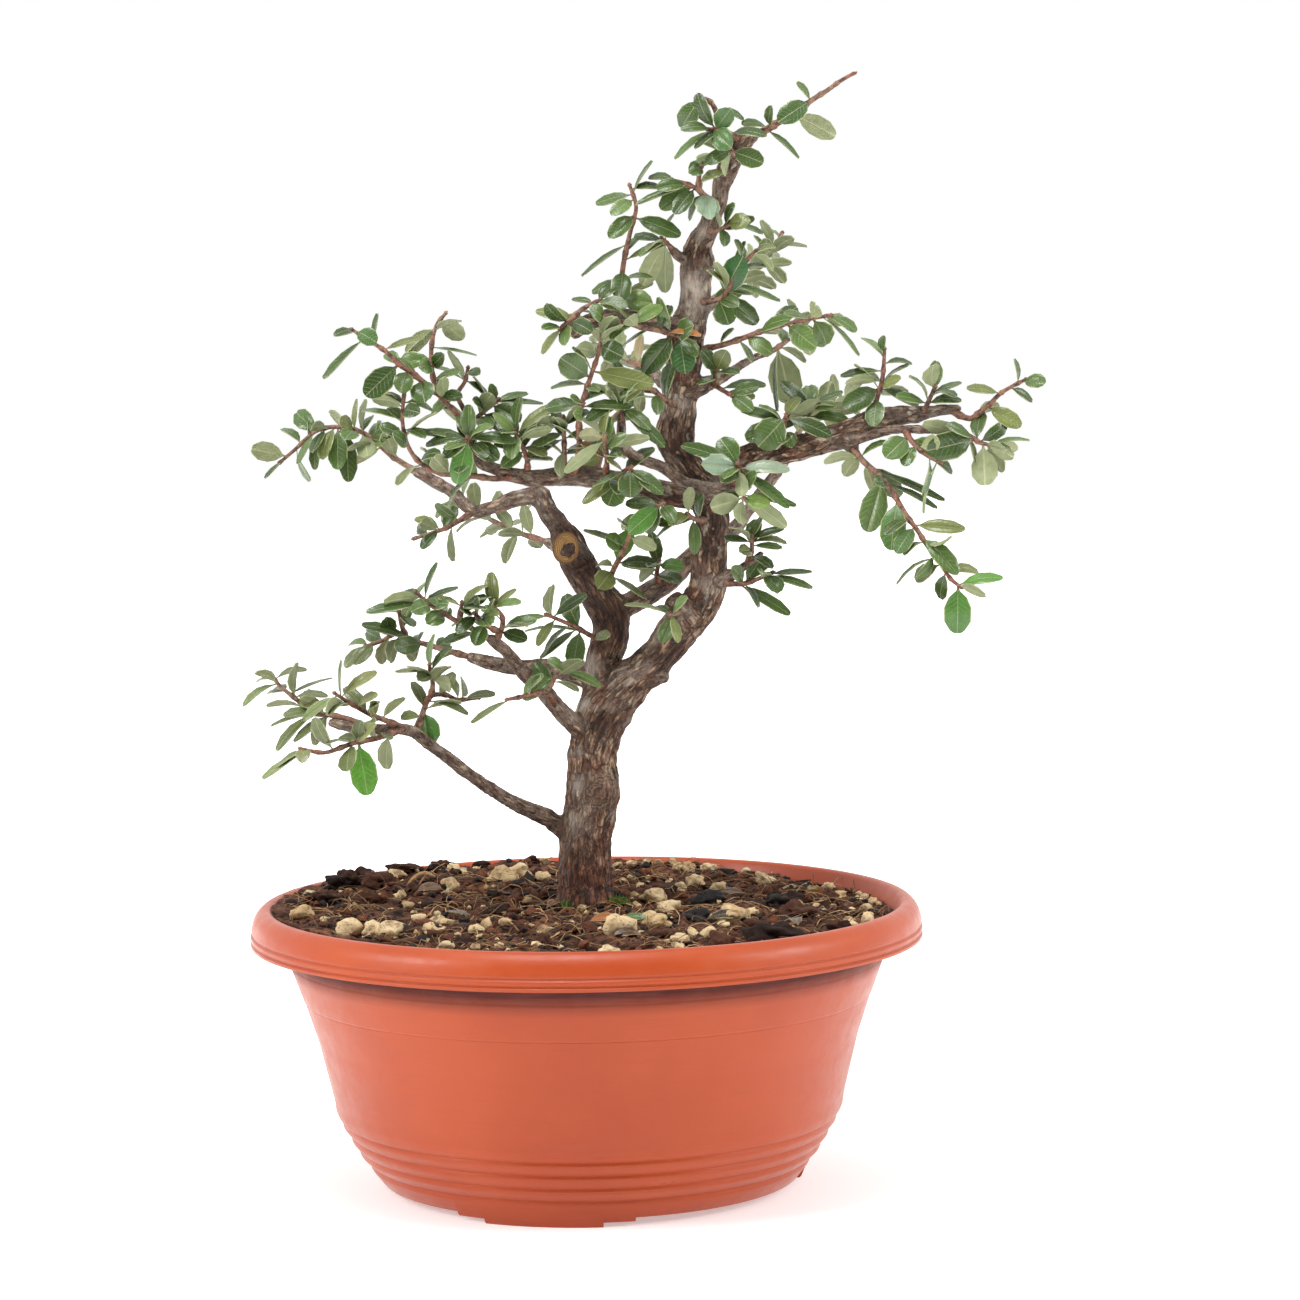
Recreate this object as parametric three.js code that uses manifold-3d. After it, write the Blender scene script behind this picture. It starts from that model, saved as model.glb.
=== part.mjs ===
// Bearberry cotoneaster bonsai, about 44 cm tall, in a round bowl 27 cm across.
// Millimetres, +Z up, the front towards -Y. The origin lies on the ground, under the middle of
// the whole plant and bowl. Every point of the wood and of the shoots is [x, z, depth]: the place
// where the point shows on the upright plane through the origin, seen from the front at eye
// distance, and how far behind that plane it lies (below zero: in front of it).
import * as THREE from 'three';
import Module from 'manifold-3d';
import { mergeVertices } from 'three/addons/utils/BufferGeometryUtils.js';

const wasm = await Module();
wasm.setup();

// The eye that the plant is seen from, level with the leaves' middle
const EYE = new THREE.Vector3(1.9, -1598.4, 352.2);

// Bowl: all radii from its own axis, which stands left of the origin
const POT_X = -25;
const POT_SIDES = 32;
const BASE_HEIGHT = 3;
const FLOOR_TOP = 5.2;
const RIM_TOP = 114.6;
const BOWL_OUTSIDE = [
  [0, BASE_HEIGHT], [83, BASE_HEIGHT], [92.5, 15.5], [101.9, 32], [102.7, 37], [108.3, 61], [117.5, 87],
  [124, 103.5], [130.5, 106], [132.3, 99.5], [134.5, 99.5], [134.3, 104.5], [132.3, 111], [128.7, RIM_TOP],
];
const BOWL_INSIDE = [[125.8, 113.3], [115.2, 87], [106, 61], [100.5, 37], [99.5, 32], [83, FLOOR_TOP],
  [0, FLOOR_TOP]];
const DRAIN_RADIUS = 5;
const DRAIN_FROM_AXIS = 48;
const DRAINS = 3;

// Feet: curved pads under the base, each with a wider and lower-set step
const FOOT_ANGLES = [-102, 18, 138];
const FOOT_OUTER = 85.5;
const FOOT_INNER = 76;
const FOOT_PAD = { half: 16, low: 0, high: 4.2 };
const FOOT_STEP = { half: 24.4, low: 1.8, high: 4.2 };

// Soil: fills the bowl to just under the rim and is heaped on the left
const GAP = 0.3;
const SOIL_SIDES = 24;
const SOIL_EDGE = [[82, FLOOR_TOP + GAP], [98.3, 32], [99.3, 37], [104.8, 61], [114, 87]];
const SOIL_RIM = [121, 108];
const SOIL_RINGS = [112, 97, 78, 56, 32];
const SOIL_LEVEL = 110.6;
const SOIL_HEAP = 3.4;

// Leaves: flat blades, arched a little, rooted inside a thin three-sided shoot. The leaves read from
// the front are the outermost share of each shoot, and each stands clear of the bark and other shoots.
const LEAF_THICK = 0.7;
const LEAF_ARCH = 1.1;
const BLUNT_LEAF = 6.3;
const LEAF_SINK = 0.35;
const READ_SHARE = 0.69;
const LEAN_CHANGES = [0, -4, 4, -8, 8, -12, 12];
const TURNS = [0, 1, 2, 3, 4, 5, 6, 7];
const BUD = 1.2;
const SHOOT_RADIUS = [1.2, 0.8];
const SHOOT_SIDES = 3;
const CLEAR_OF_BARK = 1.2;

// Wood: each branch runs through [x, z, depth, radius]
const WOOD = {
  trunk: [
    [-25.5, 74, 6, 11], [-25.5, 100, 6, 13.4], [-25.5, 112, 6, 12.2], [-25.3, 121, 6, 11],
    [-25.3, 130, 6, 10.5], [-25, 140, 6, 10.3], [-23, 150, 6, 10.7], [-21.8, 158, 6, 11],
    [-21.7, 170, 6, 10], [-20.3, 180, 6, 10.2], [-16.5, 190, 6, 11], [-9, 199, 5, 9.4],
    [0, 207, 4.5, 7.7], [6, 213, 4.5, 7.5], [13, 222, 4.5, 8], [20, 230, 4.5, 8], [25.5, 240, 4.5, 7.5],
    [25.8, 250, 4.5, 7.3], [27, 260, 4.5, 6.7], [27.5, 268, 3, 7], [25, 276, 3, 8], [19.5, 284, 1.5, 6.8],
    [14.5, 292, 1.5, 6.6], [13, 300, 1.5, 8], [15, 310, 1.5, 7], [15.8, 320, 1.5, 6.5], [17.3, 330, 0, 7.2],
    [18, 340, 0, 7.5], [21.7, 350, 0, 6.4], [22.2, 360, -1.5, 6.3], [23, 368, -1.5, 6.9],
    [24, 375, -1.5, 5.5], [27, 380, -3, 4.4], [29, 386, -3, 3.9], [31.8, 391, -4.5, 3.2],
    [33, 398, -4.5, 3.7], [35.5, 405, -4.5, 4.3], [38.5, 411, -6, 4.6], [42, 416.5, -7.5, 4.6],
    [46, 418.2, -7.5, 3.2],
  ],
  left_limb: [
    [-19, 188, 7.5, 8], [-17.5, 200, 9, 7.5], [-17.3, 210, 12, 7], [-13.5, 220, 13.5, 7.4],
    [-14.5, 230, 15, 7.8], [-21, 240, 16.5, 6.8], [-26, 249, 18, 7], [-30, 258, 18, 6.4],
    [-34, 265, 18, 4.4], [-38, 270, 19.5, 4.1], [-41, 277.5, 19.5, 4.2],
  ],
  left_limb_cut: [[-26, 251, 16.5, 6], [-30.5, 255.2, 9, 5.2]],
  back_branch: [
    [-12, 229, 15, 5], [-4, 234, 19.5, 4.6], [2, 237, 22.5, 4.5], [10, 242, 25.5, 4.4],
    [17, 249, 28.5, 4.3], [27, 256, 31.5, 3.6], [36, 262, 33, 3], [43, 271, 33, 2.6],
    [50, 280, 33, 2.5], [56, 288, 36, 2.2], [60, 297, 42, 1.9],
  ],
  low_branch: [
    [-26, 139, 6, 5], [-36, 144, 4.5, 4], [-40, 147.5, 1.5, 3.6], [-50, 152, -3, 3.1],
    [-60, 157.5, -7.5, 2.8], [-70, 164.5, -12, 2.6], [-80, 172.5, -16.5, 2.5], [-88, 178.5, -19.5, 2.4],
    [-92, 182, -21, 2.4], [-97, 184, -21, 2.3], [-108, 184, -21, 2.2], [-118, 185, -19.5, 2.2],
    [-126, 187, -18, 2],
  ],
  middle_branch_front: [
    [-22, 180, 3, 5], [-28, 184.5, 0, 4], [-33, 189, -3, 3.6], [-38, 195, -6, 3.4],
    [-42, 200, -9, 3.3], [-48, 205, -13.5, 3], [-52, 210, -16.5, 2.8], [-57, 216, -21, 2.5],
    [-62, 220, -24, 2.3],
  ],
  middle_branch_back: [
    [-18, 200, 10.5, 5], [-24, 203.5, 12, 4.2], [-32, 206, 13.5, 3.7], [-40, 208, 15, 3.5],
    [-52, 208, 18, 3.2], [-60, 209.5, 19.5, 2.9], [-70, 212.5, 22.5, 2.4],
  ],
  left_branch: [
    [24, 275, 0, 5.5], [12, 276, -4.5, 5], [0, 279, -7.5, 4.6], [-10, 281.5, -9, 4.5],
    [-20, 283.5, -10.5, 4.4], [-30, 284, -12, 4], [-40, 283.5, -13.5, 3.6], [-50, 284.5, -15, 3.3],
    [-60, 288, -16.5, 2.6], [-66, 292, -18, 2.3], [-68, 303, -19.5, 2],
  ],
  left_branch_back: [
    [-41, 277, 19.5, 4], [-50, 275.5, 21, 3.5], [-60, 272, 22.5, 2.9], [-68, 271, 22.5, 2.7],
    [-75, 278, 25.5, 2.7], [-80, 281, 27, 2.6], [-90, 287, 30, 2.4],
  ],
  pale_stub: [
    [26, 277, -4, 3.5], [22, 279, -12, 2.8], [16, 281, -17, 2.6], [8, 287, -21, 2.5],
    [0, 290, -22.5, 2.4], [-6, 294, -24, 2.3], [-8, 299, -24, 2.2], [-8, 307, -24, 2],
  ],
  pale_stub_right: [[22, 279, -12, 2.7], [33, 278, -18, 2.5], [42, 279.5, -18, 2.4]],
  right_limb: [
    [25, 279, 3, 6], [31, 282, 3, 6], [38, 287, 3, 6], [44, 291, 3, 5.7], [52, 292.3, 1.5, 5.4],
    [60, 293.5, 0, 5.3], [70, 296, -4.5, 5.3], [80, 299, -9, 5.3], [90, 303.5, -12, 4.6],
    [100, 306, -13.5, 4.3], [109, 306.5, -15, 3.3], [118, 308, -16.5, 2.3], [126, 308.5, -18, 1.8],
  ],
  right_limb_lower: [
    [80, 297, -10.5, 4], [86, 297, -16.5, 2.4], [92, 299, -19.5, 2.1], [100, 300.7, -21, 2],
    [110, 300.5, -22.5, 1.9], [120, 300, -24, 1.8], [128, 299, -25.5, 1.6],
  ],
  right_limb_knot: [[80, 298, -10, 3.5], [84, 292.5, -12.5, 2.8]],
  right_branch_high: [
    [17, 316, 0, 5], [24, 319, 3, 3.8], [30, 321.3, 6, 2.7], [36, 324.7, 9, 2], [45, 330, 15, 1.6],
    [52, 332.5, 21, 1.5],
  ],
  crown_branch: [
    [17, 341, -1.5, 4.5], [10, 344, -7.5, 3.6], [0, 346, -12, 3.5], [-10, 347, -15, 3.4],
    [-20, 345, -18, 3.3], [-27, 341.5, -19.5, 3.8],
  ],
  right_spur: [[26, 241, 1.5, 4], [33, 243, -1.5, 3], [38, 246, -6, 2], [44, 250, -9, 1.6],
    [47, 252.5, -10.5, 1.5]],
  hollow_cut: [[17, 227, -1, 6], [12.5, 232.5, -6.5, 4.3]],
  old_knob: [[1, 203, 1.5, 4.5], [8, 203.5, 0, 2.6]],
  crown_link: [[22, 367, -3, 3.5], [16, 370, -6, 2.3], [12, 374.5, -9, 1.5]],
  rear_branch_left: [[14, 312, 3, 4.5], [10, 320, 21, 3.2], [2, 326, 42, 2.5]],
  rear_branch_low: [[-20, 240, 18, 4], [-28, 250, 36, 2.9], [-38, 258, 57, 2.2]],
  rear_branch_top: [[18, 342, 3, 4], [26, 350, 21, 2.7], [34, 356, 39, 2]],
};

// Leafy shoots: each stem runs from the wood to its tip through [x, z, depth] and carries leaves as
// [part of the way along, x and z of the tip, its lean, width, facing]; "more" leaves follow the rule
const SHOOTS = {
  low_left_tip: { more: 0, stems: [{
    path: [[-112, 185, -19.5], [-118, 188, -18], [-126, 190, -16.5], [-134, 191, -13.5], [-139, 196, -12],
      [-146, 202, -9], [-148, 205, -7.5]],
    leaves: [[0.95, -161, 194, -4, 6, 70], [1, -135, 208.5, 4, 5, 70], [1, -155, 204, 7, 5, 75],
      [0.8, -125, 205, 6, 5, 70], [0.75, -127, 197.5, -8, 5.5, 60], [0.5, -148, 176, -6, 6, 60],
      [0.5, -150, 186, 5, 5, 75], [0.45, -145, 190, -9, 5, 60], [0.3, -141, 179.5, -5, 6, 50],
      [0.25, -133, 178, -4, 6, 150], [0.7, -131, 194, -9, 5.5, 20]],
  }] },
  low_left_front: { more: 0, stems: [{
    path: [[-97, 184, -22.5], [-108, 180.5, -30], [-116, 179, -36], [-122, 177, -40.5], [-129, 175, -45],
      [-137, 176.5, -49.5]],
    leaves: [[0.46, -112, 157.5, -4, 11, 0], [0.15, -104, 168, -7, 7, 150],
      [0.98, -138, 171, -10, 6, 20], [0.97, -154, 165, 2, 6, 75], [0.5, -128, 178.5, -10, 4.5, 80],
      [0.45, -114, 188, -8, 6, 20], [0.5, -108, 186, -10, 6, 40], [0.2, -103, 180, -9, 5, 60]],
  }] },
  low_left_upper: { more: 0, stems: [{
    path: [[-98, 185, -21], [-105, 188, -25.5], [-110, 190, -28.5], [-117, 194, -33], [-123, 198, -36]],
    leaves: [[0.95, -107, 207, -3, 6, 50], [1, -137, 188, -3, 6, 55], [0.9, -128, 191, -9, 7, 140],
      [0.75, -131, 194, -3, 5, 60], [0.3, -96, 196.5, 4, 6, 50], [0.4, -110, 195, -9, 6, 40],
      [0.7, -107, 198, -7, 5, 60]],
  }] },
  low_left_inner: { more: 0, stems: [{
    path: [[-92, 182, -19.5], [-89, 191, -13.5], [-86, 197, -9], [-80, 197.5, -4.5], [-75, 195.5, -1.5],
      [-68, 196, 3]],
    leaves: [[0.28, -87, 177, -4, 11, 0], [0.85, -60, 197.5, 2, 5, 60], [0.4, -71, 189.5, -4, 5, 60],
      [0.2, -98, 188, -7, 5.5, 50], [0.3, -93, 203, 7, 6, 40], [0.8, -79, 204, -6, 5, 60]],
  }, {
    path: [[-86, 197, -9], [-85, 202, -10.5], [-86, 208, -12]],
    leaves: [[0.9, -100, 207, -3, 5, 70], [1, -84, 222, 4, 6.5, 60], [0.8, -91, 203.5, -9, 6, 30],
      [0.6, -78, 200.5, -9, 7, 150], [0.9, -77, 217, 5, 5, 60]],
  }] },
  middle_left_front: { more: 0, stems: [{
    path: [[-62, 220, -24], [-70, 224.5, -30], [-75, 227, -33], [-80, 230, -36], [-86, 234, -40.5],
      [-90, 238, -43.5]],
    leaves: [[0.95, -104, 235, -4, 7, 150], [0.9, -74, 240.5, 4, 5, 60], [1, -88, 242, 9, 5, 60],
      [0.85, -111, 231, -7, 6, 60], [0.75, -78, 234, -8, 6, 40], [0.8, -93, 231, -9, 7, 20],
      [0.6, -87, 226, -8, 7.5, 20], [0.95, -96, 239, 8, 5, 60], [0.6, -77, 229, 6, 6, 30]],
  }, {
    path: [[-74, 226.5, -33], [-73, 233, -36]],
    leaves: [[1, -82, 236, -8, 5, 60], [1, -61, 236.5, 2, 5, 70], [0.9, -62, 241, 8, 6, 60],
      [0.8, -70, 229, -10, 5, 60]],
  }] },
  middle_left_centre: { more: 0, stems: [{
    path: [[-60, 218, -22.5], [-57, 224, -25.5], [-57, 229, -28.5], [-60, 232, -31.5]],
    leaves: [[1, -51, 239.5, 4, 5, 60], [1, -49, 234, -5, 5, 60], [0.8, -65, 231, -10, 5, 40],
      [0.4, -43, 227, 0, 6, 50], [0.3, -47, 219, -6, 6, 30]],
  }, {
    path: [[-57.8, 222.4, -25], [-63, 225, -29], [-67, 229, -33]],
    leaves: [[1, -75, 222, -8, 6, 30], [0.9, -58, 229.5, -9, 5, 60], [0.6, -68, 217, -7, 7, 10],
      [0.8, -77, 225, 6, 5, 60], [1, -66, 236, -10, 5, 60]],
  }] },
  middle_left_back: { more: 0, stems: [{
    path: [[-70, 212.5, 22.5], [-80, 215.5, 25.5], [-88, 218, 28.5], [-95, 220, 31.5], [-100, 222, 33],
      [-106, 219, 34.5], [-110, 218, 34.5]],
    leaves: [[1, -120, 209, -3, 7, 50], [0.95, -116, 210, -7, 7.5, 30], [1, -118, 218, 8, 5, 60],
      [0.8, -103, 229, -9, 7.5, 10], [0.55, -113, 226, -8, 6, 60], [0.5, -90, 222, 9, 6, 40],
      [0.7, -102, 211, -8, 7.5, 140], [0.5, -93, 213, -7, 6.5, 140], [0.8, -105, 210, 6, 7, 130],
      [0.45, -100, 217, -10, 8, 10], [0.35, -78, 219, 8, 5.5, 30]],
  }, {
    path: [[-95, 220, 31.5], [-97, 226, 30], [-98, 232, 28.5]],
    leaves: [[1, -94, 233.5, -9, 5, 50], [1, -102, 234, -8, 7, 150], [0.8, -92, 225, -8, 6, 60],
      [0.9, -111, 231, 6, 5.5, 60]],
  }] },
  middle_left_inner: { more: 0, stems: [{
    path: [[-36, 192, -6], [-40, 198, -18], [-46, 197, -25.5], [-51, 196, -30], [-54, 195.5, -31.5]],
    leaves: [[1, -70, 186, -3, 5, 70], [0.85, -41, 205.5, 6, 5.5, 60]],
  }, {
    path: [[-40, 198, -18], [-36, 204, -13.5], [-33, 206, -12]],
    leaves: [[0.8, -49, 195, -6, 6.5, 20], [1, -18, 200, -3, 5, 50], [1, -39, 211, -8, 5, 50]],
  }] },
  fork_left: { more: 0, stems: [{
    path: [[-17, 219, 10.5], [-21, 220, 3], [-28, 224, -3], [-38, 228.5, -9]],
    leaves: [[0.5, -29, 207.5, -4, 8, 10], [0.95, -23, 237, 2, 6, 45], [1, -53, 225, -2, 6, 60],
      [0.9, -43, 216.5, -8, 5, 40], [0.55, -42, 211.5, -5, 5.5, 50], [0.45, -48, 222.5, 5, 5, 70]],
  }] },
  left_low: { more: 0, stems: [{
    path: [[-66, 271, 22.5], [-75, 266, 19.5], [-80, 263.5, 19.5], [-90, 260.5, 21]],
    leaves: [[0.6, -74.5, 272.5, 4, 7, 30], [0.62, -91, 268, 5, 5, 45], [0.65, -88.5, 256, -6, 5, 40]],
  }] },
  left_outer: { more: 0, stems: [{
    path: [[-88, 285.5, 29], [-95, 290, 31.5], [-100, 293.5, 33], [-106, 299, 36], [-112, 303, 37.5],
      [-122, 305, 39], [-130, 303, 39], [-137, 297, 39], [-143, 292, 39]],
    leaves: [[1, -150, 285, -8, 5, 70], [0.85, -143, 304.5, 8, 5.5, 60], [0.8, -133, 308.5, 9, 5, 60],
      [0.75, -137, 290.5, -8, 5.5, 60], [0.7, -130, 288, -6, 6, 50], [0.68, -131, 295, -12, 6.5, 50],
      [0.62, -127, 292, -9, 7, 40], [0.6, -121, 288, -7, 8.5, 10], [0.55, -117, 283, -4, 8, 20],
      [0.5, -118, 300, -12, 7.5, 15], [0.5, -113, 316, 6, 5, 60], [0.55, -124, 311, 9, 6, 130],
      [0.45, -109, 293, -9, 8.5, 170], [0.45, -107, 309, 9, 6, 50], [0.35, -102, 299, -12, 6, 30],
      [0.4, -96, 303, -14, 6.5, 30], [0.3, -115, 290, 6, 5, 140], [0.5, -120, 308, -10, 6.5, 40]],
  }] },
  left_lower_middle: { more: 0, stems: [{
    path: [[-50, 284.5, -15], [-58, 283.5, -21], [-66, 284.5, -25.5], [-80, 286, -28.5], [-88, 290, -30],
      [-93, 297, -30], [-95, 307, -30], [-94, 318, -28.5]],
    leaves: [[0.92, -107, 316, 4, 6.5, 140], [0.85, -111, 311.5, 6, 5, 60], [0.8, -86, 300, -6, 6, 50],
      [0.78, -81, 301, 5, 5.5, 60], [0.9, -88, 310, -9, 7, 20], [0.75, -104, 305, -7, 6, 50],
      [0.7, -99, 302, -9, 6.5, 30], [0.6, -80, 294, -7, 5, 60], [0.5, -88, 296, 8, 6, 60],
      [0.95, -83, 311, 7, 5.5, 60]],
  }] },
  left_top_outer: { more: 0, stems: [{
    path: [[-80, 317, -21], [-85, 321, -25.5], [-91, 326, -28.5], [-96, 329.5, -31.5], [-101, 334.5, -34.5],
      [-107, 338.5, -37.5], [-113, 342.5, -39]],
    leaves: [[1, -104.5, 338, -3, 7.5, 20], [0.9, -126, 324, -3, 5.5, 70], [1, -121.5, 341, -7, 5, 45],
      [0.7, -85.5, 340, 3, 5.5, 55], [0.5, -109.5, 317, -3, 10.5, 10], [0.4, -95.5, 318, -6, 8, 10],
      [0.25, -86, 314, -8, 10, 0], [0.3, -95.5, 332, 8, 5, 60]],
  }, {
    path: [[-68, 303, -19.5], [-74, 310, -21], [-80, 317, -21], [-82.5, 324, -16.5], [-83, 335, -15],
      [-81, 344, -15], [-78, 348, -15]],
    leaves: [[0.9, -93, 333.5, 4, 6.5, 160], [0.95, -70, 339, 3, 8, 165], [0.75, -65, 332.5, -3, 5, 70],
      [0.65, -96, 329, 4, 7.5, 30], [0.6, -88, 328, -9, 7, 20], [0.6, -78, 333, -10, 6, 10],
      [0.5, -72, 326, -7, 5, 60], [0.45, -77, 322, 6, 5, 60], [0.35, -71, 316, -5, 5.5, 30]],
  }] },
  left_top_inner: { more: 0, stems: [{
    path: [[-67, 299, -18.5], [-68.5, 305, -11], [-70.5, 311, -10.5], [-73, 317, -10.5], [-70, 322, -9],
      [-69, 326, -9]],
    leaves: [[1, -64, 325, -9, 5, 50], [0.9, -60, 315, 3, 6, 60], [0.7, -83, 309, -6, 6.5, 45],
      [0.9, -87, 329, 4, 5, 70]],
  }, {
    path: [[-68.5, 305, -11], [-64, 309, -10], [-58, 314, -7.5]],
    leaves: [[0.6, -67, 315, -8, 5.5, 60], [1, -39, 313, 2, 6, 60], [1, -45, 317, 6, 6, 60],
      [0.9, -60, 321, -9, 5, 30], [0.85, -48, 306, -5, 9, 20], [0.5, -51, 302, -9, 8, 20],
      [0.3, -60, 303, -11, 7.5, 30]],
  }] },
  left_middle: { more: 0, stems: [{
    path: [[-66, 292, -18], [-68, 297, -25.5], [-69, 299.5, -30]],
    leaves: [[1, -74, 281.5, -3, 9, 0], [1, -79, 292, -4, 7, 30], [1, -86, 297, 3, 6.5, 50],
      [0.9, -87, 303, 6, 6.5, 50], [1, -50, 298, 0, 6.5, 50], [0.8, -57, 291, -6, 8, 20],
      [0.9, -72, 309, 8, 7, 20], [0.7, -79, 296, 8, 5, 60]],
  }] },
  centre_left: { more: 0, stems: [{
    path: [[-46, 285, -13.5], [-46, 292, -19.5], [-50, 301, -24]],
    leaves: [[1, -62, 298, 3, 6, 60], [1, -52, 291, -8, 7.5, 20], [1, -34, 312, 5, 6, 50],
      [0.9, -36, 303, -4, 6, 150], [0.7, -38, 292, -6, 6, 60], [0.6, -56, 288, -9, 6, 20],
      [1, -48, 316, 6, 6.5, 60], [0.95, -59, 309, -8, 6, 40]],
  }] },
  centre_middle: { more: 0, stems: [{
    path: [[-31, 284.5, -12], [-31, 292, -16.5], [-31, 299, -19.5], [-31, 306, -21]],
    leaves: [[1, -42, 304, -6, 6.5, 150], [0.9, -21, 310, 4, 6, 50], [0.8, -42, 296, -6, 6, 50],
      [0.7, -44, 291, 3, 5.5, 60], [0.7, -18, 300, -2, 6, 50], [0.5, -33, 284, -11, 5, 160],
      [1, -39, 312, 8, 6, 60], [0.4, -22, 294, 7, 6, 60]],
  }] },
  centre_back: { more: 2, stems: [{
    path: [[-19, 283, -7.5], [-17, 290, 3], [-15, 297, 12], [-13, 305, 21], [-8, 310, 27]],
    leaves: [[0.35, -24, 288, -9, 8, 10], [1, 0, 318, 2, 7, 20], [0.9, -2, 307, -9, 6, 40],
      [0.8, -22, 305, 3, 5, 60], [1, 3, 302, -2, 5.5, 40]],
  }] },
  centre_tall: { more: 0, stems: [{
    path: [[-27, 284, -13.5], [-25, 296, -22.5], [-25, 306, -27], [-24, 312, -27], [-22, 318, -27],
      [-19.5, 325, -27], [-17, 332, -27], [-16, 337, -27], [-15, 345, -28.5]],
    leaves: [[0.66, -32, 331, -3, 11, 0], [0.86, -7, 331, -4, 9.5, 0], [0.7, 5, 320, -1, 8.5, 10],
      [0.62, -36, 319, 4, 5.5, 65], [0.5, -38, 311, 2, 7, 40], [0.48, -4, 311, 2, 6, 50],
      [0.6, -17, 317.5, -9, 5, 50], [0.5, -28, 315, -11, 5, 60], [0.8, -25, 335, 7, 7, 150],
      [0.9, -10, 347, -8, 7, 160], [1, -20, 351, -8, 7, 40], [0.42, -27, 309, -11, 6, 40]],
  }] },
  centre_front: { more: 0, stems: [{
    path: [[-10, 281, -12], [-8, 285, -22.5], [-5, 287, -30]],
    leaves: [[1, -5, 275, -3, 10, 0], [1, 8, 276.5, -4, 6.5, 20], [0.8, -20, 280, -2, 5, 60],
      [0.5, -14, 272, -4, 10.5, 10], [0.4, -24, 273, -8, 6, 30]],
  }] },
  centre_pale: { more: 0, stems: [{
    path: [[-15, 283, -10.5], [-14, 291, -24], [-15, 299, -33]],
    leaves: [[0.95, -31, 285.5, -3, 5.5, 160], [1, -25, 300, 5, 6, 140], [0.8, -6, 300, -6, 5.5, 30],
      [1, -13, 310, 6, 6, 50], [0.8, 3, 299, -5, 6.5, 140]],
  }] },
  stub_top: { more: 0, stems: [{
    path: [[-8, 303, -24], [-8, 309, -25.5], [-8, 312, -24]],
    leaves: [[0.9, 3.5, 302, -7, 6, 40], [1, -22, 306, -3, 6.5, 45], [1, 0, 320, 4, 6.5, 30],
      [0.7, 9, 295, -8, 6, 30]],
  }] },
  trunk_left: { more: 0, stems: [{
    path: [[14, 311, -3], [9, 314, -12], [4, 318, -18], [-3, 318.5, -21], [-8, 319, -22.5]],
    leaves: [[1, -14, 318, -8, 7, 150], [0.8, -8, 315, -9, 5, 70], [0.5, 6, 308, -8, 6, 30],
      [0.7, -1, 309, -3, 6, 150], [0.6, -2, 327, 4, 5, 60]],
  }] },
  red_fork: { more: 0, stems: [{
    path: [[-15, 239, 12], [-12, 247, 3], [-8, 254, -6], [-5, 261, -13.5], [0, 268, -19.5], [7, 272, -24]],
    leaves: [[1, -6, 261, -3, 8.5, 5], [1, 1, 261, 4, 7, 20], [1, 12.5, 265, -8, 6, 20],
      [1, -7, 273, 3, 7, 30], [0.85, -8.5, 262.5, 7, 6.5, 160], [0.6, 5, 254.5, 4, 6, 160],
      [0.2, -18.5, 239, -6, 9, 5], [0.3, 6, 248.5, 1, 7, 30], [0.45, -15, 260, -4, 7.5, 30],
      [0.5, -24, 262.5, 3, 6, 65], [0.15, 1, 234.5, -6, 5.5, 60], [0.25, -19, 248, 6, 5, 60]],
  }] },
  fork_back: { more: 2, stems: [{
    path: [[6, 240, 24], [5, 244, 16.5], [6, 249, 10.5]],
    leaves: [[0.7, -9, 248.5, -2, 6, 60], [0.8, -2, 242.5, -9, 6, 140], [0.9, 16, 247, -8, 6, 30]],
  }] },
  hollow_cut: { more: 0, stems: [{
    path: [[15, 230, -5], [12, 228.5, -14], [10, 228.5, -20]],
    leaves: [[1, -8, 232.5, -3, 5, 75], [0.8, 3, 231, 9, 5, 50], [0.9, 13, 217, -8, 5, 40]],
  }] },
  right_low: { more: 0, stems: [{
    path: [[30, 241, 0], [38, 240, -7.5], [44, 241.5, -12], [50, 244, -15]],
    leaves: [[1, 67, 244.5, 0, 6, 60], [0.95, 67, 238, -6, 6, 60], [0.95, 53, 236, -9, 8.5, 30],
      [0.4, 58, 227.5, -3, 6, 45], [0.6, 50, 249, 9, 6.5, 30], [0.5, 35, 247, -9, 6, 40]],
  }] },
  right_low_spur: { more: 0, stems: [{
    path: [[41, 248.5, -7.5], [43, 253, -13.5], [43, 258, -15]],
    leaves: [[1, 56, 262, 2, 5.5, 50], [0.8, 55, 254, -6, 5, 60], [0.9, 32, 258.5, -2, 5, 65],
      [0.6, 38, 253, -10, 6, 30], [0.9, 57, 256, 6, 5, 70], [1, 47, 267, 6, 6, 50]],
  }] },
  right_inner: { more: 0, stems: [{
    path: [[36, 279, -18], [39, 284, -25.5], [38, 287, -28.5]],
    leaves: [[1, 31, 298, 4, 9.5, 10], [1, 15.5, 295.5, -4, 6, 35], [1, 23.5, 288, -6, 9, 10],
      [0.9, 58.5, 285, -2, 7, 40], [0.8, 58, 270, -4, 6, 40], [0.9, 39.5, 275, -10, 5.5, 160],
      [0.7, 31, 281, -9, 5, 20], [0.8, 24, 294, 6, 5, 50]],
  }] },
  right_inner_low: { more: 0, stems: [{
    path: [[40, 279.3, -18], [40, 274.5, -28.5]],
    leaves: [[1, 50.5, 271.5, -3, 7, 20], [1, 27, 270.5, -4, 8.5, 170], [0.9, 57, 262.5, -1, 7, 160],
      [1, 39, 264, -7, 6.5, 150], [0.8, 61, 271, 4, 5, 60], [0.9, 48, 268, 8, 6, 160]],
  }] },
  stem_front: { more: 0, stems: [{
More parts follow.
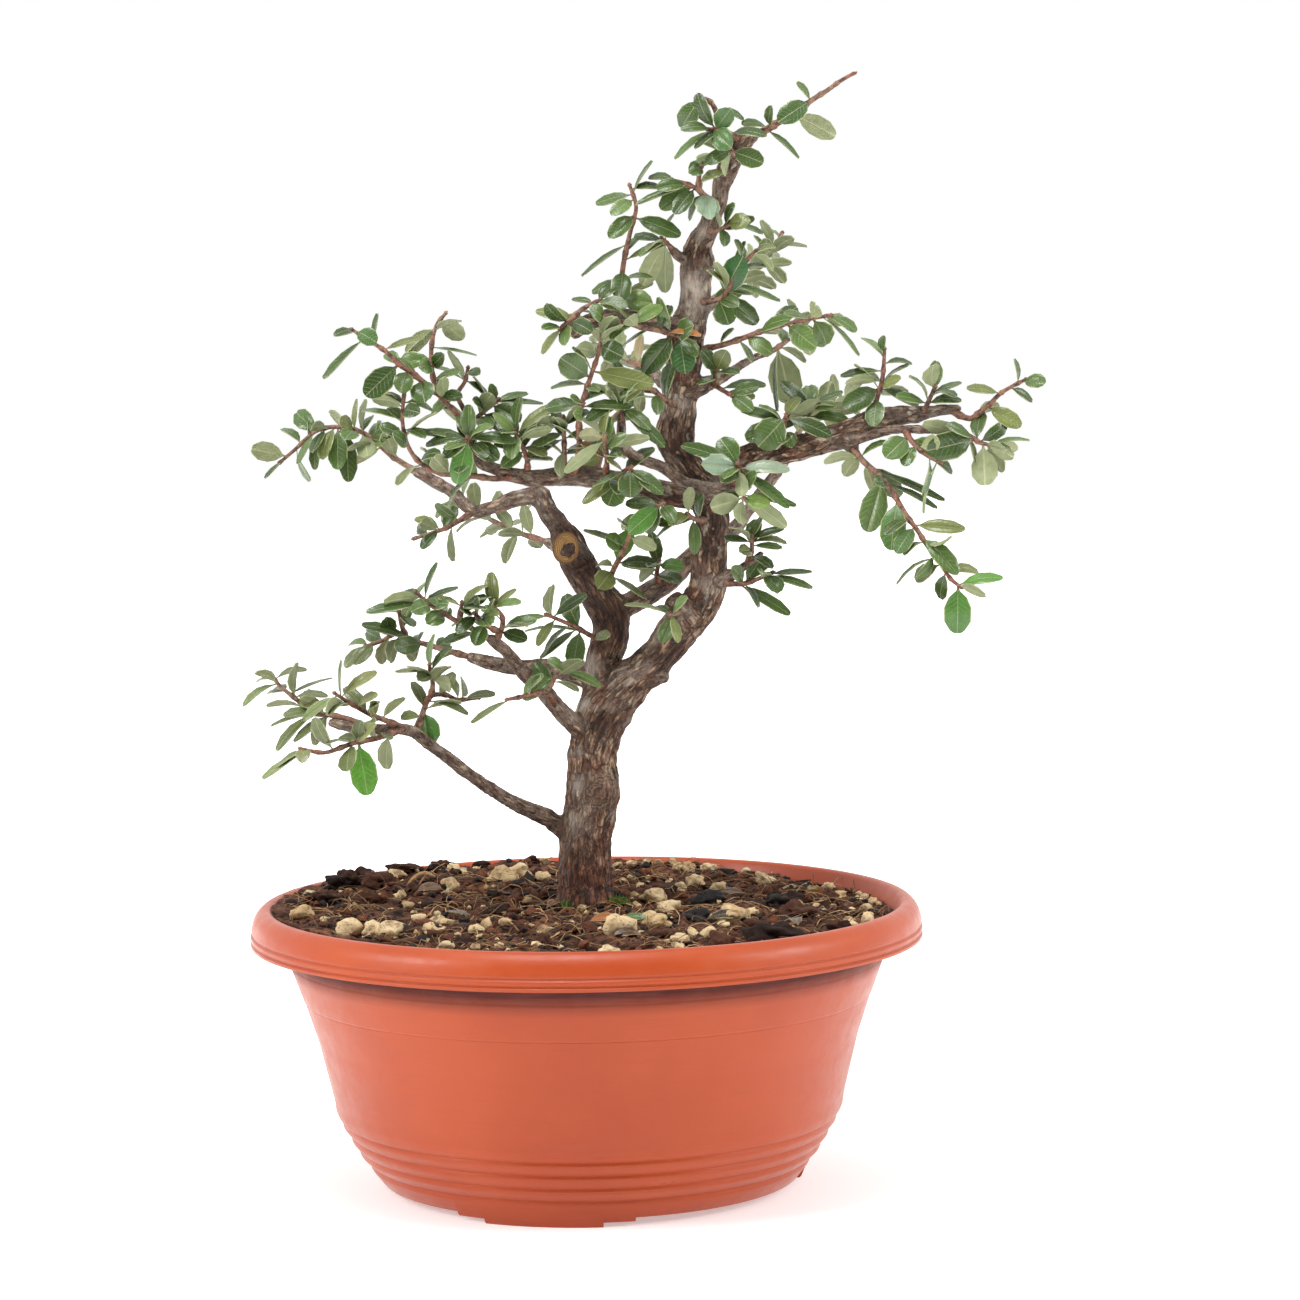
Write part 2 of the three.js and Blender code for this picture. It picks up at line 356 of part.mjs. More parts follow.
    path: [[25, 266, -2], [21, 266, -14], [18, 268, -20]],
    leaves: [[0.8, 20, 252, -3, 5.5, 20], [1, 10, 264, -9, 6, 30], [0.9, 5, 259, 3, 5, 60],
      [1, 19, 279, -5, 5, 160]],
  }] },
  limb_round: { more: 0, stems: [{
    path: [[53, 294, 0], [56, 301, -9], [57, 306, -13.5]],
    leaves: [[1, 46, 294.5, -4, 13, 0], [0.8, 41, 298, 3, 8, 20], [0.6, 59.5, 294, -6, 7, 20],
      [0.9, 39, 309.5, 2, 6, 50], [1, 75, 298.5, -4, 6.5, 30], [1, 62.5, 314, 6, 6, 40],
      [0.9, 71, 312.5, 4, 6, 150]],
  }] },
  limb_second: { more: 0, stems: [{
    path: [[67, 297, -3], [66, 304, -3], [67, 310, -3]],
    leaves: [[1, 55, 320, -4, 6.5, 25], [0.7, 82, 304.5, -3, 5.5, 40], [1, 77, 310, -9, 5.5, 40],
      [0.9, 87, 309, 5, 6, 140], [1, 80, 316, 3, 5, 60], [0.7, 57, 304, 8, 6, 60]],
  }] },
  limb_upright: { more: 0, stems: [{
    path: [[92, 304, -12], [93, 312, -13.5], [95, 318, -15], [96, 324, -15], [96.5, 331, -15]],
    leaves: [[0.5, 80, 309.5, -4, 9, 5], [0.6, 81, 319.5, -6, 6, 140], [0.35, 92, 302, -9, 8, 10],
      [0.5, 103, 321, -6, 6, 40], [0.75, 79, 322, -3, 5.5, 60], [0.85, 107.5, 326.5, 4, 5, 70],
      [1, 96.5, 338, -2, 4, 40], [0.5, 110, 310, 4, 6.5, 50], [0.4, 106, 315, 9, 6, 140],
      [0.6, 88, 323, 9, 5, 130]],
  }] },
  limb_third: { more: 0, stems: [{
    path: [[111, 305, -16], [113.5, 311, -18], [116, 316, -19.5]],
    leaves: [[1, 116, 326, -6, 8.5, 150], [0.5, 127, 311.5, -4, 6.5, 50], [0.5, 101, 314, -6, 6, 60],
      [0.8, 127, 319, 5, 5, 60]],
  }] },
  tip_twig: { more: 0, stems: [{
    path: [[123, 307.5, -18], [130, 304.5, -22.5], [134, 307, -24], [138, 310, -25.5], [142, 314, -27],
      [146, 316.5, -27], [151, 319, -27]],
    leaves: [[0.72, 129, 316.5, -3, 6, 55], [1, 160.5, 318.5, -6, 6.5, 30],
      [0.5, 150.5, 301, -3, 7, 20], [0.35, 142, 309.5, 7, 6, 140], [0.95, 148, 328, -4, 4, 60],
      [0.85, 155, 311, 5, 5, 50]],
  }] },
  tip_low: { more: 0, stems: [{
    path: [[126, 299.3, -25.5], [131, 297, -28.5], [134, 295, -30], [138, 294, -30]],
    leaves: [[0.55, 113, 292, -6, 11.5, 0], [0.8, 136, 278, -5, 10.5, 175],
      [0.9, 147.5, 289, -5, 7, 160], [0.9, 143, 283, 4, 6.5, 150], [1, 154, 295.5, 0, 5, 70],
      [1, 149, 292, 8, 6, 130], [0.3, 111.5, 303, -5, 7, 150], [0.5, 121, 302, -9, 6, 60],
      [0.6, 135, 307, 8, 7, 30]],
  }] },
  hanging: { more: 0, stems: [{
    path: [[83, 294, -13.5], [88, 288, -18], [95, 281.5, -24], [100, 274.5, -28.5], [105, 266, -33],
      [109, 260.5, -36], [113, 254, -39], [118, 247, -42], [122, 241, -45], [125, 238.5, -46.5]],
    leaves: [[0.15, 102.5, 274, 6, 8, 10], [0.12, 94, 273, 9, 7, 150], [0.3, 92, 280, -6, 6, 30],
      [0.27, 89, 260, -3, 11, 5], [0.42, 98.5, 252.5, -6, 10.5, 10], [0.55, 96, 259, -10, 5.5, 50],
      [0.6, 100.5, 251.5, -12, 7, 20], [0.59, 128, 260.5, -4, 7, 30], [0.67, 125, 242.5, -8, 8, 20],
      [0.7, 103.5, 250.5, -4, 5, 65], [0.8, 100.5, 239, -3, 5, 75], [0.85, 108, 240.5, 6, 6.5, 30],
      [0.9, 118, 233, 7, 6, 20], [1, 143, 241, -2, 6.5, 40], [1, 136, 234, -9, 5.5, 140],
      [1, 124.5, 219, -1, 11, 0], [0.9, 133, 243.5, 7, 5.5, 50], [0.3, 117, 269, -3, 5, 65],
      [0.18, 120, 272, -3, 5.5, 65], [0.03, 98, 296, -6, 5.5, 60], [0.08, 80, 282.5, 4, 6.5, 160],
      [0.06, 72, 288, -4, 5.5, 130]],
  }] },
  limb_under: { more: 0, stems: [{
    path: [[104, 301, -21], [107, 296, -27], [112, 291, -30], [117, 288, -30]],
    leaves: [[0.15, 96.5, 289.5, -6, 10, 10], [0.5, 104, 286, -3, 7, 30], [1, 111.5, 267, -3, 6, 110],
      [0.8, 123, 283, 5, 5.5, 50]],
  }] },
  right_middle_back: { more: 3, stems: [{
    path: [[48, 331, 16.5], [52, 332.5, 21], [56, 335, 25.5], [60, 338, 28.5], [63, 341, 31.5]],
    leaves: [[0.35, 59, 311.5, 0, 13.5, 175], [0.1, 54, 308.5, -6, 6, 80]],
  }] },
  right_middle_inner: { more: 0, stems: [{
    path: [[28, 320.5, 4.5], [31, 318, -4.5], [35, 315.5, -10.5]],
    leaves: [[0.8, 45, 314, -3, 6, 50], [1, 44, 309, -7, 6.5, 20], [0.6, 49.5, 319, 3, 5.5, 60]],
  }, {
    path: [[30, 318.8, -2], [29.5, 322, -5], [30, 325, -6]],
    leaves: [[1, 24, 333, -7, 7, 20], [1, 34, 333, -6, 8, 10], [0.9, 39, 324, -7, 5, 60]],
  }] },
  right_middle_front: { more: 0, stems: [{
    path: [[22, 333, -1.5], [32, 335, -9], [40, 337.5, -12], [47, 340, -15], [54, 342, -18],
      [60, 343.5, -19.5], [68, 345, -22.5], [74, 346, -24]],
    leaves: [[0.4, 52, 331.5, -4, 7, 20], [0.71, 69.5, 333.5, -4, 9.5, 0],
      [0.9, 73.5, 334.5, 5, 10, 20], [0.83, 67, 330.5, 9, 8, 165], [0.97, 86.5, 330, -2, 5, 75],
      [1, 85.5, 339.5, -5, 6, 60], [1, 80, 342, 8, 6, 140], [0.88, 57, 347.5, -5, 5, 65],
      [0.5, 59.5, 345, -8, 6.5, 50], [0.48, 55, 339.5, 8, 5.5, 120], [0.2, 37, 341.5, -7, 4, 60]],
  }] },
  crown_right: { more: 0, stems: [{
    path: [[22, 352, -3], [31, 353, -10.5], [35, 357, -15], [38, 363, -15], [42, 368, -15],
      [45, 371, -15]],
    leaves: [[0.4, 41, 370, -5, 10.5, 0], [0.6, 55.5, 352, 2, 6, 60], [0.6, 42, 376, 5, 5, 75],
      [1, 53, 364.5, -3, 6, 130], [1, 54, 373.5, 2, 5, 70], [0.5, 30, 368, -10, 6, 140],
      [0.35, 39, 350.5, -9, 6, 30], [0.33, 35, 343, -3, 10, 10], [0.4, 46.5, 343.5, 2, 8, 20],
      [0.5, 45, 356, 8, 6, 40]],
  }] },
  crown_left: { more: 0, stems: [{
    path: [[-22, 344, -18], [-27, 346, -27], [-31, 343, -31.5]],
    leaves: [[1, -39, 332.5, -3, 6, 60], [1, -39, 342.5, -8, 5.5, 60], [0.7, -19, 341, -6, 7, 20],
      [0.8, -30, 336, -9, 6, 30]],
  }, {
    path: [[-27, 346, -27], [-23, 350, -25.5], [-17, 353, -22.5]],
    leaves: [[1, -5, 351, -3, 7, 30], [1, -10, 359, 5, 6, 40], [0.9, -27, 354, 3, 5, 60]],
  }] },
  crown_front: { more: 0, stems: [{
    path: [[19, 338, -4.5], [14, 339.5, -16.5], [8, 341, -21], [0, 342.5, -24], [-6, 344.5, -24]],
    leaves: [[0.4, 1, 324.5, -3, 9.5, 0], [0.25, 17.5, 324, -5, 10.5, 0], [0.35, 21, 343, -9, 9, 20],
      [0.6, 12, 351, 6, 6.5, 50], [0.9, -12, 338, -6, 5, 60], [0.95, 9, 350.5, -3, 6.5, 40],
      [0.5, 24, 339, -4, 4, 50]],
  }] },
  crown_tall: { more: 0, stems: [{
    path: [[-8, 347, -15], [-7, 355, -10.5], [-7, 363, -12], [-5.5, 372, -12], [-3, 382, -12], [-1, 390, -12],
      [-3, 397, -12]],
    leaves: [[0.38, -8, 353, -9, 8.5, 0], [0.58, -23, 363, -3, 6, 65], [0.78, 16.5, 378.5, -2, 7.5, 15],
      [0.8, -12, 378, -8, 7, 10], [0.92, -11, 387, -8, 6, 20], [0.96, -17, 391.5, 3, 6, 50],
      [1, 10, 397, 2, 6, 55], [0.45, 12, 376, 3, 5, 60], [0.3, -19, 356.5, 5, 6, 60],
      [0.3, 5, 362, -6, 5, 60], [0.15, 5, 352, -9, 9, 10]],
  }] },
  crown_link: { more: 0, stems: [{
    path: [[17, 369, -4.5], [13, 373.5, -9], [10, 376.5, -10.5]],
    leaves: [[0.6, 1, 359, -3, 8, 165], [0.9, 0, 370.5, -8, 5.5, 50], [0.5, 10, 356, 4, 8, 160]],
  }] },
  upper_left: { more: 0, stems: [{
    path: [[31, 391, -4.5], [27, 393.5, -12], [24, 396, -13.5], [20, 398.5, -15], [15, 400, -15]],
    leaves: [[0.8, 7, 397, -4, 6.5, 40], [0.75, -1, 391, -3, 5.5, 65], [0.7, 8.5, 389, -2, 8.5, 20],
      [0.65, 14, 387, -9, 7, 20], [0.5, 28.5, 385, -7, 10, 15], [0.5, 20, 384.5, 7, 6, 60],
      [1, 4, 401.5, 5, 5, 60]],
  }, {
    path: [[24, 396, -13.5], [24, 402, -13.5], [25, 405, -13.5]],
    leaves: [[1, 20, 403, -9, 6.5, 20], [0.3, 33.5, 402.5, -7, 6, 50]],
  }] },
  upper_right: { more: 0, stems: [{
    path: [[26, 380, -4.5], [32, 380.5, -10.5], [35, 382.5, -12]],
    leaves: [[1, 44, 384, -8, 7, 20], [0.8, 33.5, 374, -8, 5, 30], [0.9, 38, 391, -5, 5, 60]],
  }] },
  apex_left: { more: 0, stems: [{
    path: [[41, 415, -7.5], [36, 418.5, -15], [32, 420, -18], [29, 420, -19.5]],
    leaves: [[1, 17, 420, -6, 6, 45], [0.9, 37, 428, -8, 8, 5], [0.95, 37, 412.5, -8, 9, 0],
      [0.9, 14.5, 408.5, -2, 6, 60], [0.7, 22.5, 412.5, -8, 5, 50], [0.5, 51, 417, -6, 6, 50]],
  }, {
    path: [[32, 420, -18], [31, 427, -18], [28, 431.5, -18], [25, 432, -18]],
    leaves: [[1, 17.5, 420.5, 4, 9, 20], [0.5, 42, 423.5, 4, 5, 60]],
  }] },
  apex_front: { more: 0, stems: [{
    path: [[38, 409, -6], [37, 411.5, -16.5]],
    leaves: [[1, 49.5, 406.5, -4, 8, 5], [1, 27, 406.5, -5, 6.5, 30], [0.8, 21, 406, 3, 5.5, 50],
      [0.9, 34, 402, -8, 5, 140]],
  }] },
  apex_right: { more: 0, stems: [{
    path: [[44, 417.5, -7.5], [50, 419, -9], [55, 422, -10.5], [60, 424.5, -12], [65, 428, -13.5],
      [70, 431.5, -15], [75, 434.5, -16.5], [80, 438, -18], [84.5, 440.5, -18]],
    leaves: [[0.6, 55.5, 422.5, -6, 9, 10], [0.42, 78, 416.5, -3, 8.5, 175], [0.6, 63, 438, -2, 4, 60],
      [0.18, 41, 422, -6, 5, 65], [0.2, 53, 429, -7, 5, 40], [0.12, 63.5, 408, -2, 6, 60]],
  }] },
  rear_left: { more: 8, stems: [{
    path: [[2, 326, 42], [-6, 330, 63], [-14, 336, 81], [-22, 344, 93]],
    leaves: [],
  }] },
  rear_low: { more: 8, stems: [{
    path: [[-38, 258, 57], [-50, 262, 75], [-62, 268, 90], [-74, 276, 99]],
    leaves: [],
  }] },
  rear_right: { more: 8, stems: [{
    path: [[57, 290, 37.5], [62, 300, 48], [72, 308, 69], [82, 314, 87]],
    leaves: [],
  }] },
  rear_top: { more: 8, stems: [{
    path: [[34, 356, 39], [42, 362, 57], [50, 368, 72], [56, 378, 81]],
    leaves: [],
  }] },
};

const BARK = new THREE.MeshStandardMaterial({ color: 0x4a392c, roughness: 0.9, metalness: 0 });
const PLASTIC = new THREE.MeshStandardMaterial({ color: 0xcd6b4a, roughness: 0.45, metalness: 0 });
const PEAT = new THREE.MeshStandardMaterial({ color: 0x3a2a20, roughness: 1, metalness: 0 });
const FOLIAGE = new THREE.MeshStandardMaterial({ color: 0x4f7340, roughness: 0.5, metalness: 0 });

// A closed geometry as a solid, turned right side out
function solid(geometry) {
  const bare = geometry.index ? geometry.toNonIndexed() : geometry.clone();
  bare.deleteAttribute('normal');
  bare.deleteAttribute('uv');
  const merged = mergeVertices(bare, 1e-4);
  const at = merged.attributes.position;
  const [a, b, c] = [new THREE.Vector3(), new THREE.Vector3(), new THREE.Vector3()];
  const triangles = [];
  let volume = 0;
  for (let i = 0; i < merged.index.count; i += 3) {
    const corner = [0, 1, 2].map((k) => merged.index.getX(i + k));
    if (new Set(corner).size < 3) continue;
    triangles.push(corner);
    a.fromBufferAttribute(at, corner[0]);
    b.fromBufferAttribute(at, corner[1]);
    c.fromBufferAttribute(at, corner[2]);
    volume += a.dot(b.cross(c));
  }
  const facing = volume < 0 ? triangles.map(([p, q, r]) => [p, r, q]) : triangles;
  const mesh = new wasm.Mesh({
    numProp: 3,
    vertProperties: new Float32Array(at.array),
    triVerts: new Uint32Array(facing.flat()),
  });
  return new wasm.Manifold(mesh);
}

const join = (parts) => parts.reduce((whole, part) => whole.add(part));

// The largest connected piece of a solid, without loose scraps or sealed hollows
function largest(body) {
  const pieces = body.decompose();
  return pieces.reduce((best, piece) => (piece.volume() > best.volume() ? piece : best));
}

function named(name, body, material) {
  const { vertProperties, triVerts } = body.getMesh();
  const geometry = new THREE.BufferGeometry();
  geometry.setAttribute('position', new THREE.BufferAttribute(new Float32Array(vertProperties), 3));
  geometry.setIndex(new THREE.BufferAttribute(new Uint32Array(triVerts), 1));
  const mesh = new THREE.Mesh(geometry, material.clone());
  mesh.name = name;
  return mesh;
}

// A draw between 0 and 1 that is the same for the same three numbers
function draw(shoot, leaf, turn) {
  const wave = Math.sin(shoot * 12.9898 + leaf * 78.233 + turn * 37.719) * 43758.5453;
  return wave - Math.floor(wave);
}

// The real place of a point that shows at x, z from the front and lies at this depth
function seen([x, z, depth]) {
  return EYE.clone().lerp(new THREE.Vector3(x, 0, z), 1 - depth / EYE.y);
}

// A tapered tube with one ring at each point, its sections carried along without twist
function limb(points, radii, sides, grow = 0) {
  const steps = points.length - 1;
  const tube = new THREE.CylinderGeometry(1, 1, 1, sides, steps);
  const rings = [];
  let side = new THREE.Vector3(0, 1, 0);
  points.forEach((point, i) => {
    const before = points[Math.max(i - 1, 0)];
    const after = points[Math.min(i + 1, steps)];
    const forward = after.clone().sub(before).normalize();
    if (i === 0 && Math.abs(forward.y) > 0.8) side = new THREE.Vector3(0, 0, 1);
    side = side.clone().addScaledVector(forward, -side.dot(forward)).normalize();
    const centre = point.clone();
    if (i === 0) centre.addScaledVector(forward, -grow);
    if (i === steps) centre.addScaledVector(forward, grow);
    rings.push({ centre, side, up: forward.clone().cross(side), radius: radii[i] + grow });
  });
  const at = tube.attributes.position;
  for (let i = 0; i < at.count; i += 1) {
    const ring = rings[Math.round((0.5 - at.getY(i)) * steps)];
    const place = ring.centre.clone();
    place.addScaledVector(ring.side, at.getX(i) * ring.radius);
    place.addScaledVector(ring.up, at.getZ(i) * ring.radius);
    at.setXYZ(i, place.x, place.y, place.z);
  }
  return solid(tube);
}

function branch(points, grow = 0) {
  const thickest = Math.max(...points.map((point) => point[3]));
  const sides = thickest > 9 ? 9 : thickest > 5.5 ? 6 : 4;
  return limb(points.map(seen), points.map((point) => point[3]), sides, grow);
}

// The point a part of the way along a row of points
function partWay(points, part) {
  const lengths = points.slice(1).map((point, i) => point.distanceTo(points[i]));
  let left = part * lengths.reduce((sum, length) => sum + length, 0);
  let span = 0;
  while (span < lengths.length - 1 && left > lengths[span]) {
    left -= lengths[span];
    span += 1;
  }
  const share = Math.min(left / lengths[span], 1);
  return {
    place: points[span].clone().lerp(points[span + 1], share),
    forward: points[span + 1].clone().sub(points[span]).normalize(),
  };
}

// One leaf blade from its base in the shoot to its tip, its upper face towards up
function blade({ base, tip, width, up }, grow = 0) {
  const along = tip.clone().sub(base).normalize();
  const length = tip.distanceTo(base) - LEAF_SINK + grow;
  const normal = up.clone().addScaledVector(along, -up.dot(along)).normalize();
  const across = along.clone().cross(normal);
  const rows = [0, 0.56, 1];
  const halves = [0, 0.5 * width, width > BLUNT_LEAF ? 0.2 * width : 0];
  const steps = rows.length - 1;
  const plate = new THREE.BoxGeometry(1, 1, 1, 1, 1, steps);
  const at = plate.attributes.position;
  for (let i = 0; i < at.count; i += 1) {
    const row = Math.round((at.getZ(i) + 0.5) * steps);
    const t = rows[row];
    const place = base.clone().addScaledVector(along, LEAF_SINK + length * t);
    place.addScaledVector(across, 2 * at.getX(i) * (halves[row] + grow));
    place.addScaledVector(normal, at.getY(i) * (LEAF_THICK + 2 * grow) + LEAF_ARCH * 4 * t * (1 - t));
    at.setXYZ(i, place.x, place.y, place.z);
  }
  return solid(plate);
}

// The same leaf without the end that is sunk in its shoot
function outerPart(leaf) {
  const along = leaf.tip.clone().sub(leaf.base).normalize();
  return { ...leaf, base: leaf.base.clone().addScaledVector(along, 3) };
}

// How far a point lies outside the bark
function barkDistance(point) {
  const nearest = new THREE.Vector3();
  return Math.min(...Object.values(WOOD).flatMap((points) => {
    const line = points.map(seen);
    return line.slice(1).map((end, i) => {
      const part = new THREE.Line3(line[i], end).closestPointToPointParameter(point, true);
      nearest.copy(line[i]).lerp(end, part);
      return nearest.distanceTo(point) - THREE.MathUtils.lerp(points[i][3], points[i + 1][3], part);
    });
  }));
}

// The first part of a shoot, from its root, where a leaf can stand clear of the bark
function firstPart(line) {
  const parts = Array.from({ length: 25 }, (_, i) => i * 0.04);
  return parts.find((part) => barkDistance(partWay(line, part).place) > CLEAR_OF_BARK) ?? 1;
}

// A leaf read from the front: its tip, its lean back from its base, its width, and how its face
// is turned (0 the upper face to the front, 90 edge on and facing up, 180 the underside)
function readLeaf(line, first, [part, x, z, lean, width, facing], change) {
  const base = partWay(line, Math.max(part, first)).place;
  const tip = seen([x, z, base.y + lean + change]);
  const along = tip.clone().sub(base).normalize();
  const toEye = EYE.clone().sub(base).normalize();
  const across = along.clone().cross(toEye).normalize();
  const front = across.clone().cross(along);
  if (across.z < 0) across.negate();
  const angle = THREE.MathUtils.degToRad(facing);
  const up = front.multiplyScalar(Math.cos(angle)).addScaledVector(across, Math.sin(angle));
  return { base, tip, width, up };
}

// A leaf placed by rule: spread round the shoot by the golden angle and tipped towards its end
function ruleLeaf(line, first, shoot, leaf, count, turn) {
  const part = THREE.MathUtils.lerp(Math.max(first, 0.15), 1, (leaf + draw(shoot, leaf, 1)) / count);
  const { place, forward } = partWay(line, part);
  const side = new THREE.Vector3(0, 0, 1).cross(forward).normalize();
  const over = forward.clone().cross(side);
  const round = 2.399963 * leaf + 6.283185 * draw(shoot, 0, 2) + 0.7 * turn;
  const spread = 0.85 + 0.5 * draw(shoot, leaf, 3);
  const out = side.multiplyScalar(Math.cos(round)).addScaledVector(over, Math.sin(round));
  const along = forward.clone().multiplyScalar(Math.cos(spread)).addScaledVector(out, Math.sin(spread));
  along.z += 0.1;
  along.normalize();
  const length = 11 + 5.5 * draw(shoot, leaf, 4);
  const width = length * (0.42 + 0.12 * draw(shoot, leaf, 5));
  const tip = place.clone().addScaledVector(along, length);
  const up = forward.clone().multiplyScalar(0.8);
  up.z += 0.7;
  return { base: place, tip, width, up };
}

function bowl() {
  const rings = [...BOWL_OUTSIDE, ...BOWL_INSIDE].map(([r, z]) => new THREE.Vector2(r, z));
  const wall = solid(new THREE.LatheGeometry(rings, POT_SIDES).rotateX(Math.PI / 2));
  const feet = FOOT_ANGLES.flatMap((angle) => [FOOT_PAD, FOOT_STEP].map((pad) => {
    const middle = THREE.MathUtils.degToRad(angle);
    const half = THREE.MathUtils.degToRad(pad.half);
    const outline = new THREE.Shape();
    outline.absarc(0, 0, FOOT_OUTER, middle - half, middle + half, false);
    outline.absarc(0, 0, FOOT_INNER, middle + half, middle - half, true);
    const foot = new THREE.ExtrudeGeometry(outline, {
      depth: pad.high - pad.low, bevelEnabled: false, curveSegments: 3,
    });
    return solid(foot.translate(0, 0, pad.low));
  }));
  let body = join([wall, ...feet]);
  for (let i = 0; i < DRAINS; i += 1) {
    const angle = (i + 0.5) * 2 * Math.PI / DRAINS;
    const hole = new THREE.CylinderGeometry(DRAIN_RADIUS, DRAIN_RADIUS, 20, 8).rotateX(Math.PI / 2);
    hole.translate(DRAIN_FROM_AXIS * Math.cos(angle), DRAIN_FROM_AXIS * Math.sin(angle), 0);
    body = body.subtract(solid(hole));
  }
  return body.translate([POT_X, 0, 0]);
}

function soil(plantHole) {
  const top = [...SOIL_RINGS, 0].map((r) => [r, SOIL_LEVEL]);
  const rings = [[0, FLOOR_TOP + GAP], ...SOIL_EDGE, SOIL_RIM, ...top];
  const fill = new THREE.LatheGeometry(rings.map(([r, z]) => new THREE.Vector2(r, z)), SOIL_SIDES);
  fill.rotateX(Math.PI / 2);
  const at = fill.attributes.position;
  for (let i = 0; i < at.count; i += 1) {
    const [x, y, z] = [at.getX(i), at.getY(i), at.getZ(i)];
    if (z < SOIL_RIM[1]) continue;
    const heap = SOIL_HEAP * (-0.85 * x + 0.3 * y) / 116;
    const lumps = 1.3 * Math.sin(x / 9 + 1) * Math.cos(y / 11) + 0.8 * Math.sin(x / 4.3 + y / 5.1);
    at.setZ(i, z + heap + lumps);
  }
  return solid(fill).translate([POT_X, 0, 0]).subtract(plantHole);
}

// All shoots with their leaves, a leaf leaned or turned further until it is clear of other shoots
function leafyShoots(clearOfWood) {
  const taken = [];
  const names = Object.keys(SHOOTS);
  const lines = names.map((name) => SHOOTS[name].stems.map((stem) => stem.path.map(seen)));
  const firsts = lines.map((stems) => stems.map(firstPart));
  const overlaps = (a, b) => [0, 1, 2].every((k) => a.min[k] <= b.max[k] && b.min[k] <= a.max[k]);
  const put = (owner, body) => taken.push({ owner, body, box: body.boundingBox() });
  const isClear = (body, others) => {
    const box = body.boundingBox();
    return others.every((other) => !overlaps(box, other.box) || body.intersect(other.body).isEmpty());
  };
  const place = (owner, tries) => {
    const others = taken.filter((one) => one.owner !== owner);
    const own = taken.filter((one) => one.owner === owner);
    const free = tries.filter((one) => isClear(blade(one, GAP), others));
    const leaf = free.find((one) => isClear(blade(outerPart(one)), own)) ?? free[0];
    if (leaf) put(owner, blade(leaf));
  };
  names.forEach((name, owner) => lines[owner].forEach((line) => {
    const radii = line.map((_, i) => THREE.MathUtils.lerp(...SHOOT_RADIUS, i / (line.length - 1)));
    const bud = line.at(-1).clone().addScaledVector(partWay(line, 1).forward, BUD);
    put(owner, limb([...line.slice(0, -1), bud], radii, SHOOT_SIDES));
  }));
  names.forEach((name, owner) => {
    const leaves = SHOOTS[name].stems.flatMap((stem, i) => stem.leaves.map((leaf) => {
      const [line, first] = [lines[owner][i], firsts[owner][i]];
      const reach = line[0].distanceTo(seen([leaf[1], leaf[2], line[0].y]));
      const tries = LEAN_CHANGES.map((change) => readLeaf(line, first, leaf, change));
      return { reach, tries };
    }));
    leaves.sort((a, b) => b.reach - a.reach);
    leaves.slice(0, Math.ceil(READ_SHARE * leaves.length)).forEach(({ tries }) => place(owner, tries));
  });
  names.forEach((name, owner) => {
    const { more, stems } = SHOOTS[name];
    for (let leaf = 0; leaf < more; leaf += 1) {
      const line = lines[owner][leaf % stems.length];
      const first = firsts[owner][leaf % stems.length];
      place(owner, TURNS.map((turn) => ruleLeaf(line, first, owner, leaf, more, turn)));
    }
  });
  return names.map((name, owner) => {
    const own = taken.filter((one) => one.owner === owner).map((one) => one.body);
    return [name, largest(join(own).subtract(clearOfWood))];
  });
}

const wood = join(Object.values(WOOD).map((points) => branch(points)));
const clearOfWood = join(Object.values(WOOD).map((points) => branch(points, GAP)));

const bonsai = new THREE.Group();
bonsai.add(named('bowl', bowl(), PLASTIC));
bonsai.add(named('soil', soil(clearOfWood), PEAT));
bonsai.add(named('trunk_and_branches', largest(wood), BARK));
leafyShoots(clearOfWood).forEach(([name, body]) => bonsai.add(named(`shoot_${name}`, body, FOLIAGE)));

export default bonsai;
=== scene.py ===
import math
import random

import bmesh
import bpy
import numpy as np
from bpy.props import FloatProperty, FloatVectorProperty, IntProperty, PointerProperty
from mathutils import Matrix, Vector, noise


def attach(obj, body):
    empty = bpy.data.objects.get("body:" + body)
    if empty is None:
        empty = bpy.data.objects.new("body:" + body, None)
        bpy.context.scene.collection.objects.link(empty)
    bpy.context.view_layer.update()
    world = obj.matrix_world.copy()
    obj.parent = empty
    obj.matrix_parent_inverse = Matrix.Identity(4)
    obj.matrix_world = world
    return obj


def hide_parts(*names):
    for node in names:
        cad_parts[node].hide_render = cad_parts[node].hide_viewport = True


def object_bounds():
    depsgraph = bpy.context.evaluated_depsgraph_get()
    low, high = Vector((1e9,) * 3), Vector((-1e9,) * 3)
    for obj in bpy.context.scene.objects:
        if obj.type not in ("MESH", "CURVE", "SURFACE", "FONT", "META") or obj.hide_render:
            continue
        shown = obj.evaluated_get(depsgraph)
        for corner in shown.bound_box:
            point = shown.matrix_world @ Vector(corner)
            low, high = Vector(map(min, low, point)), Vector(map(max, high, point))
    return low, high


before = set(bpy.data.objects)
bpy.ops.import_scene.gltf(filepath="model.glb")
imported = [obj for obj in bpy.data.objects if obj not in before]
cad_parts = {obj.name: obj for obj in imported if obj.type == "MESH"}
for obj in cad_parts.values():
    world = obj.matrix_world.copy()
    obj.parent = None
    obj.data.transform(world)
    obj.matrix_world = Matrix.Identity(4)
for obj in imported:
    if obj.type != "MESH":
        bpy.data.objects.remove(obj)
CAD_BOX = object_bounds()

bl_info = {
    "name": "Bearberry cotoneaster bonsai",
    "version": (1, 0, 0),
    "blender": (4, 5, 0),
    "location": "3D View > Sidebar > Bonsai",
    "description": "Dresses the packed solids of a cotoneaster bonsai in its plastic bowl",
    "category": "Object",
}

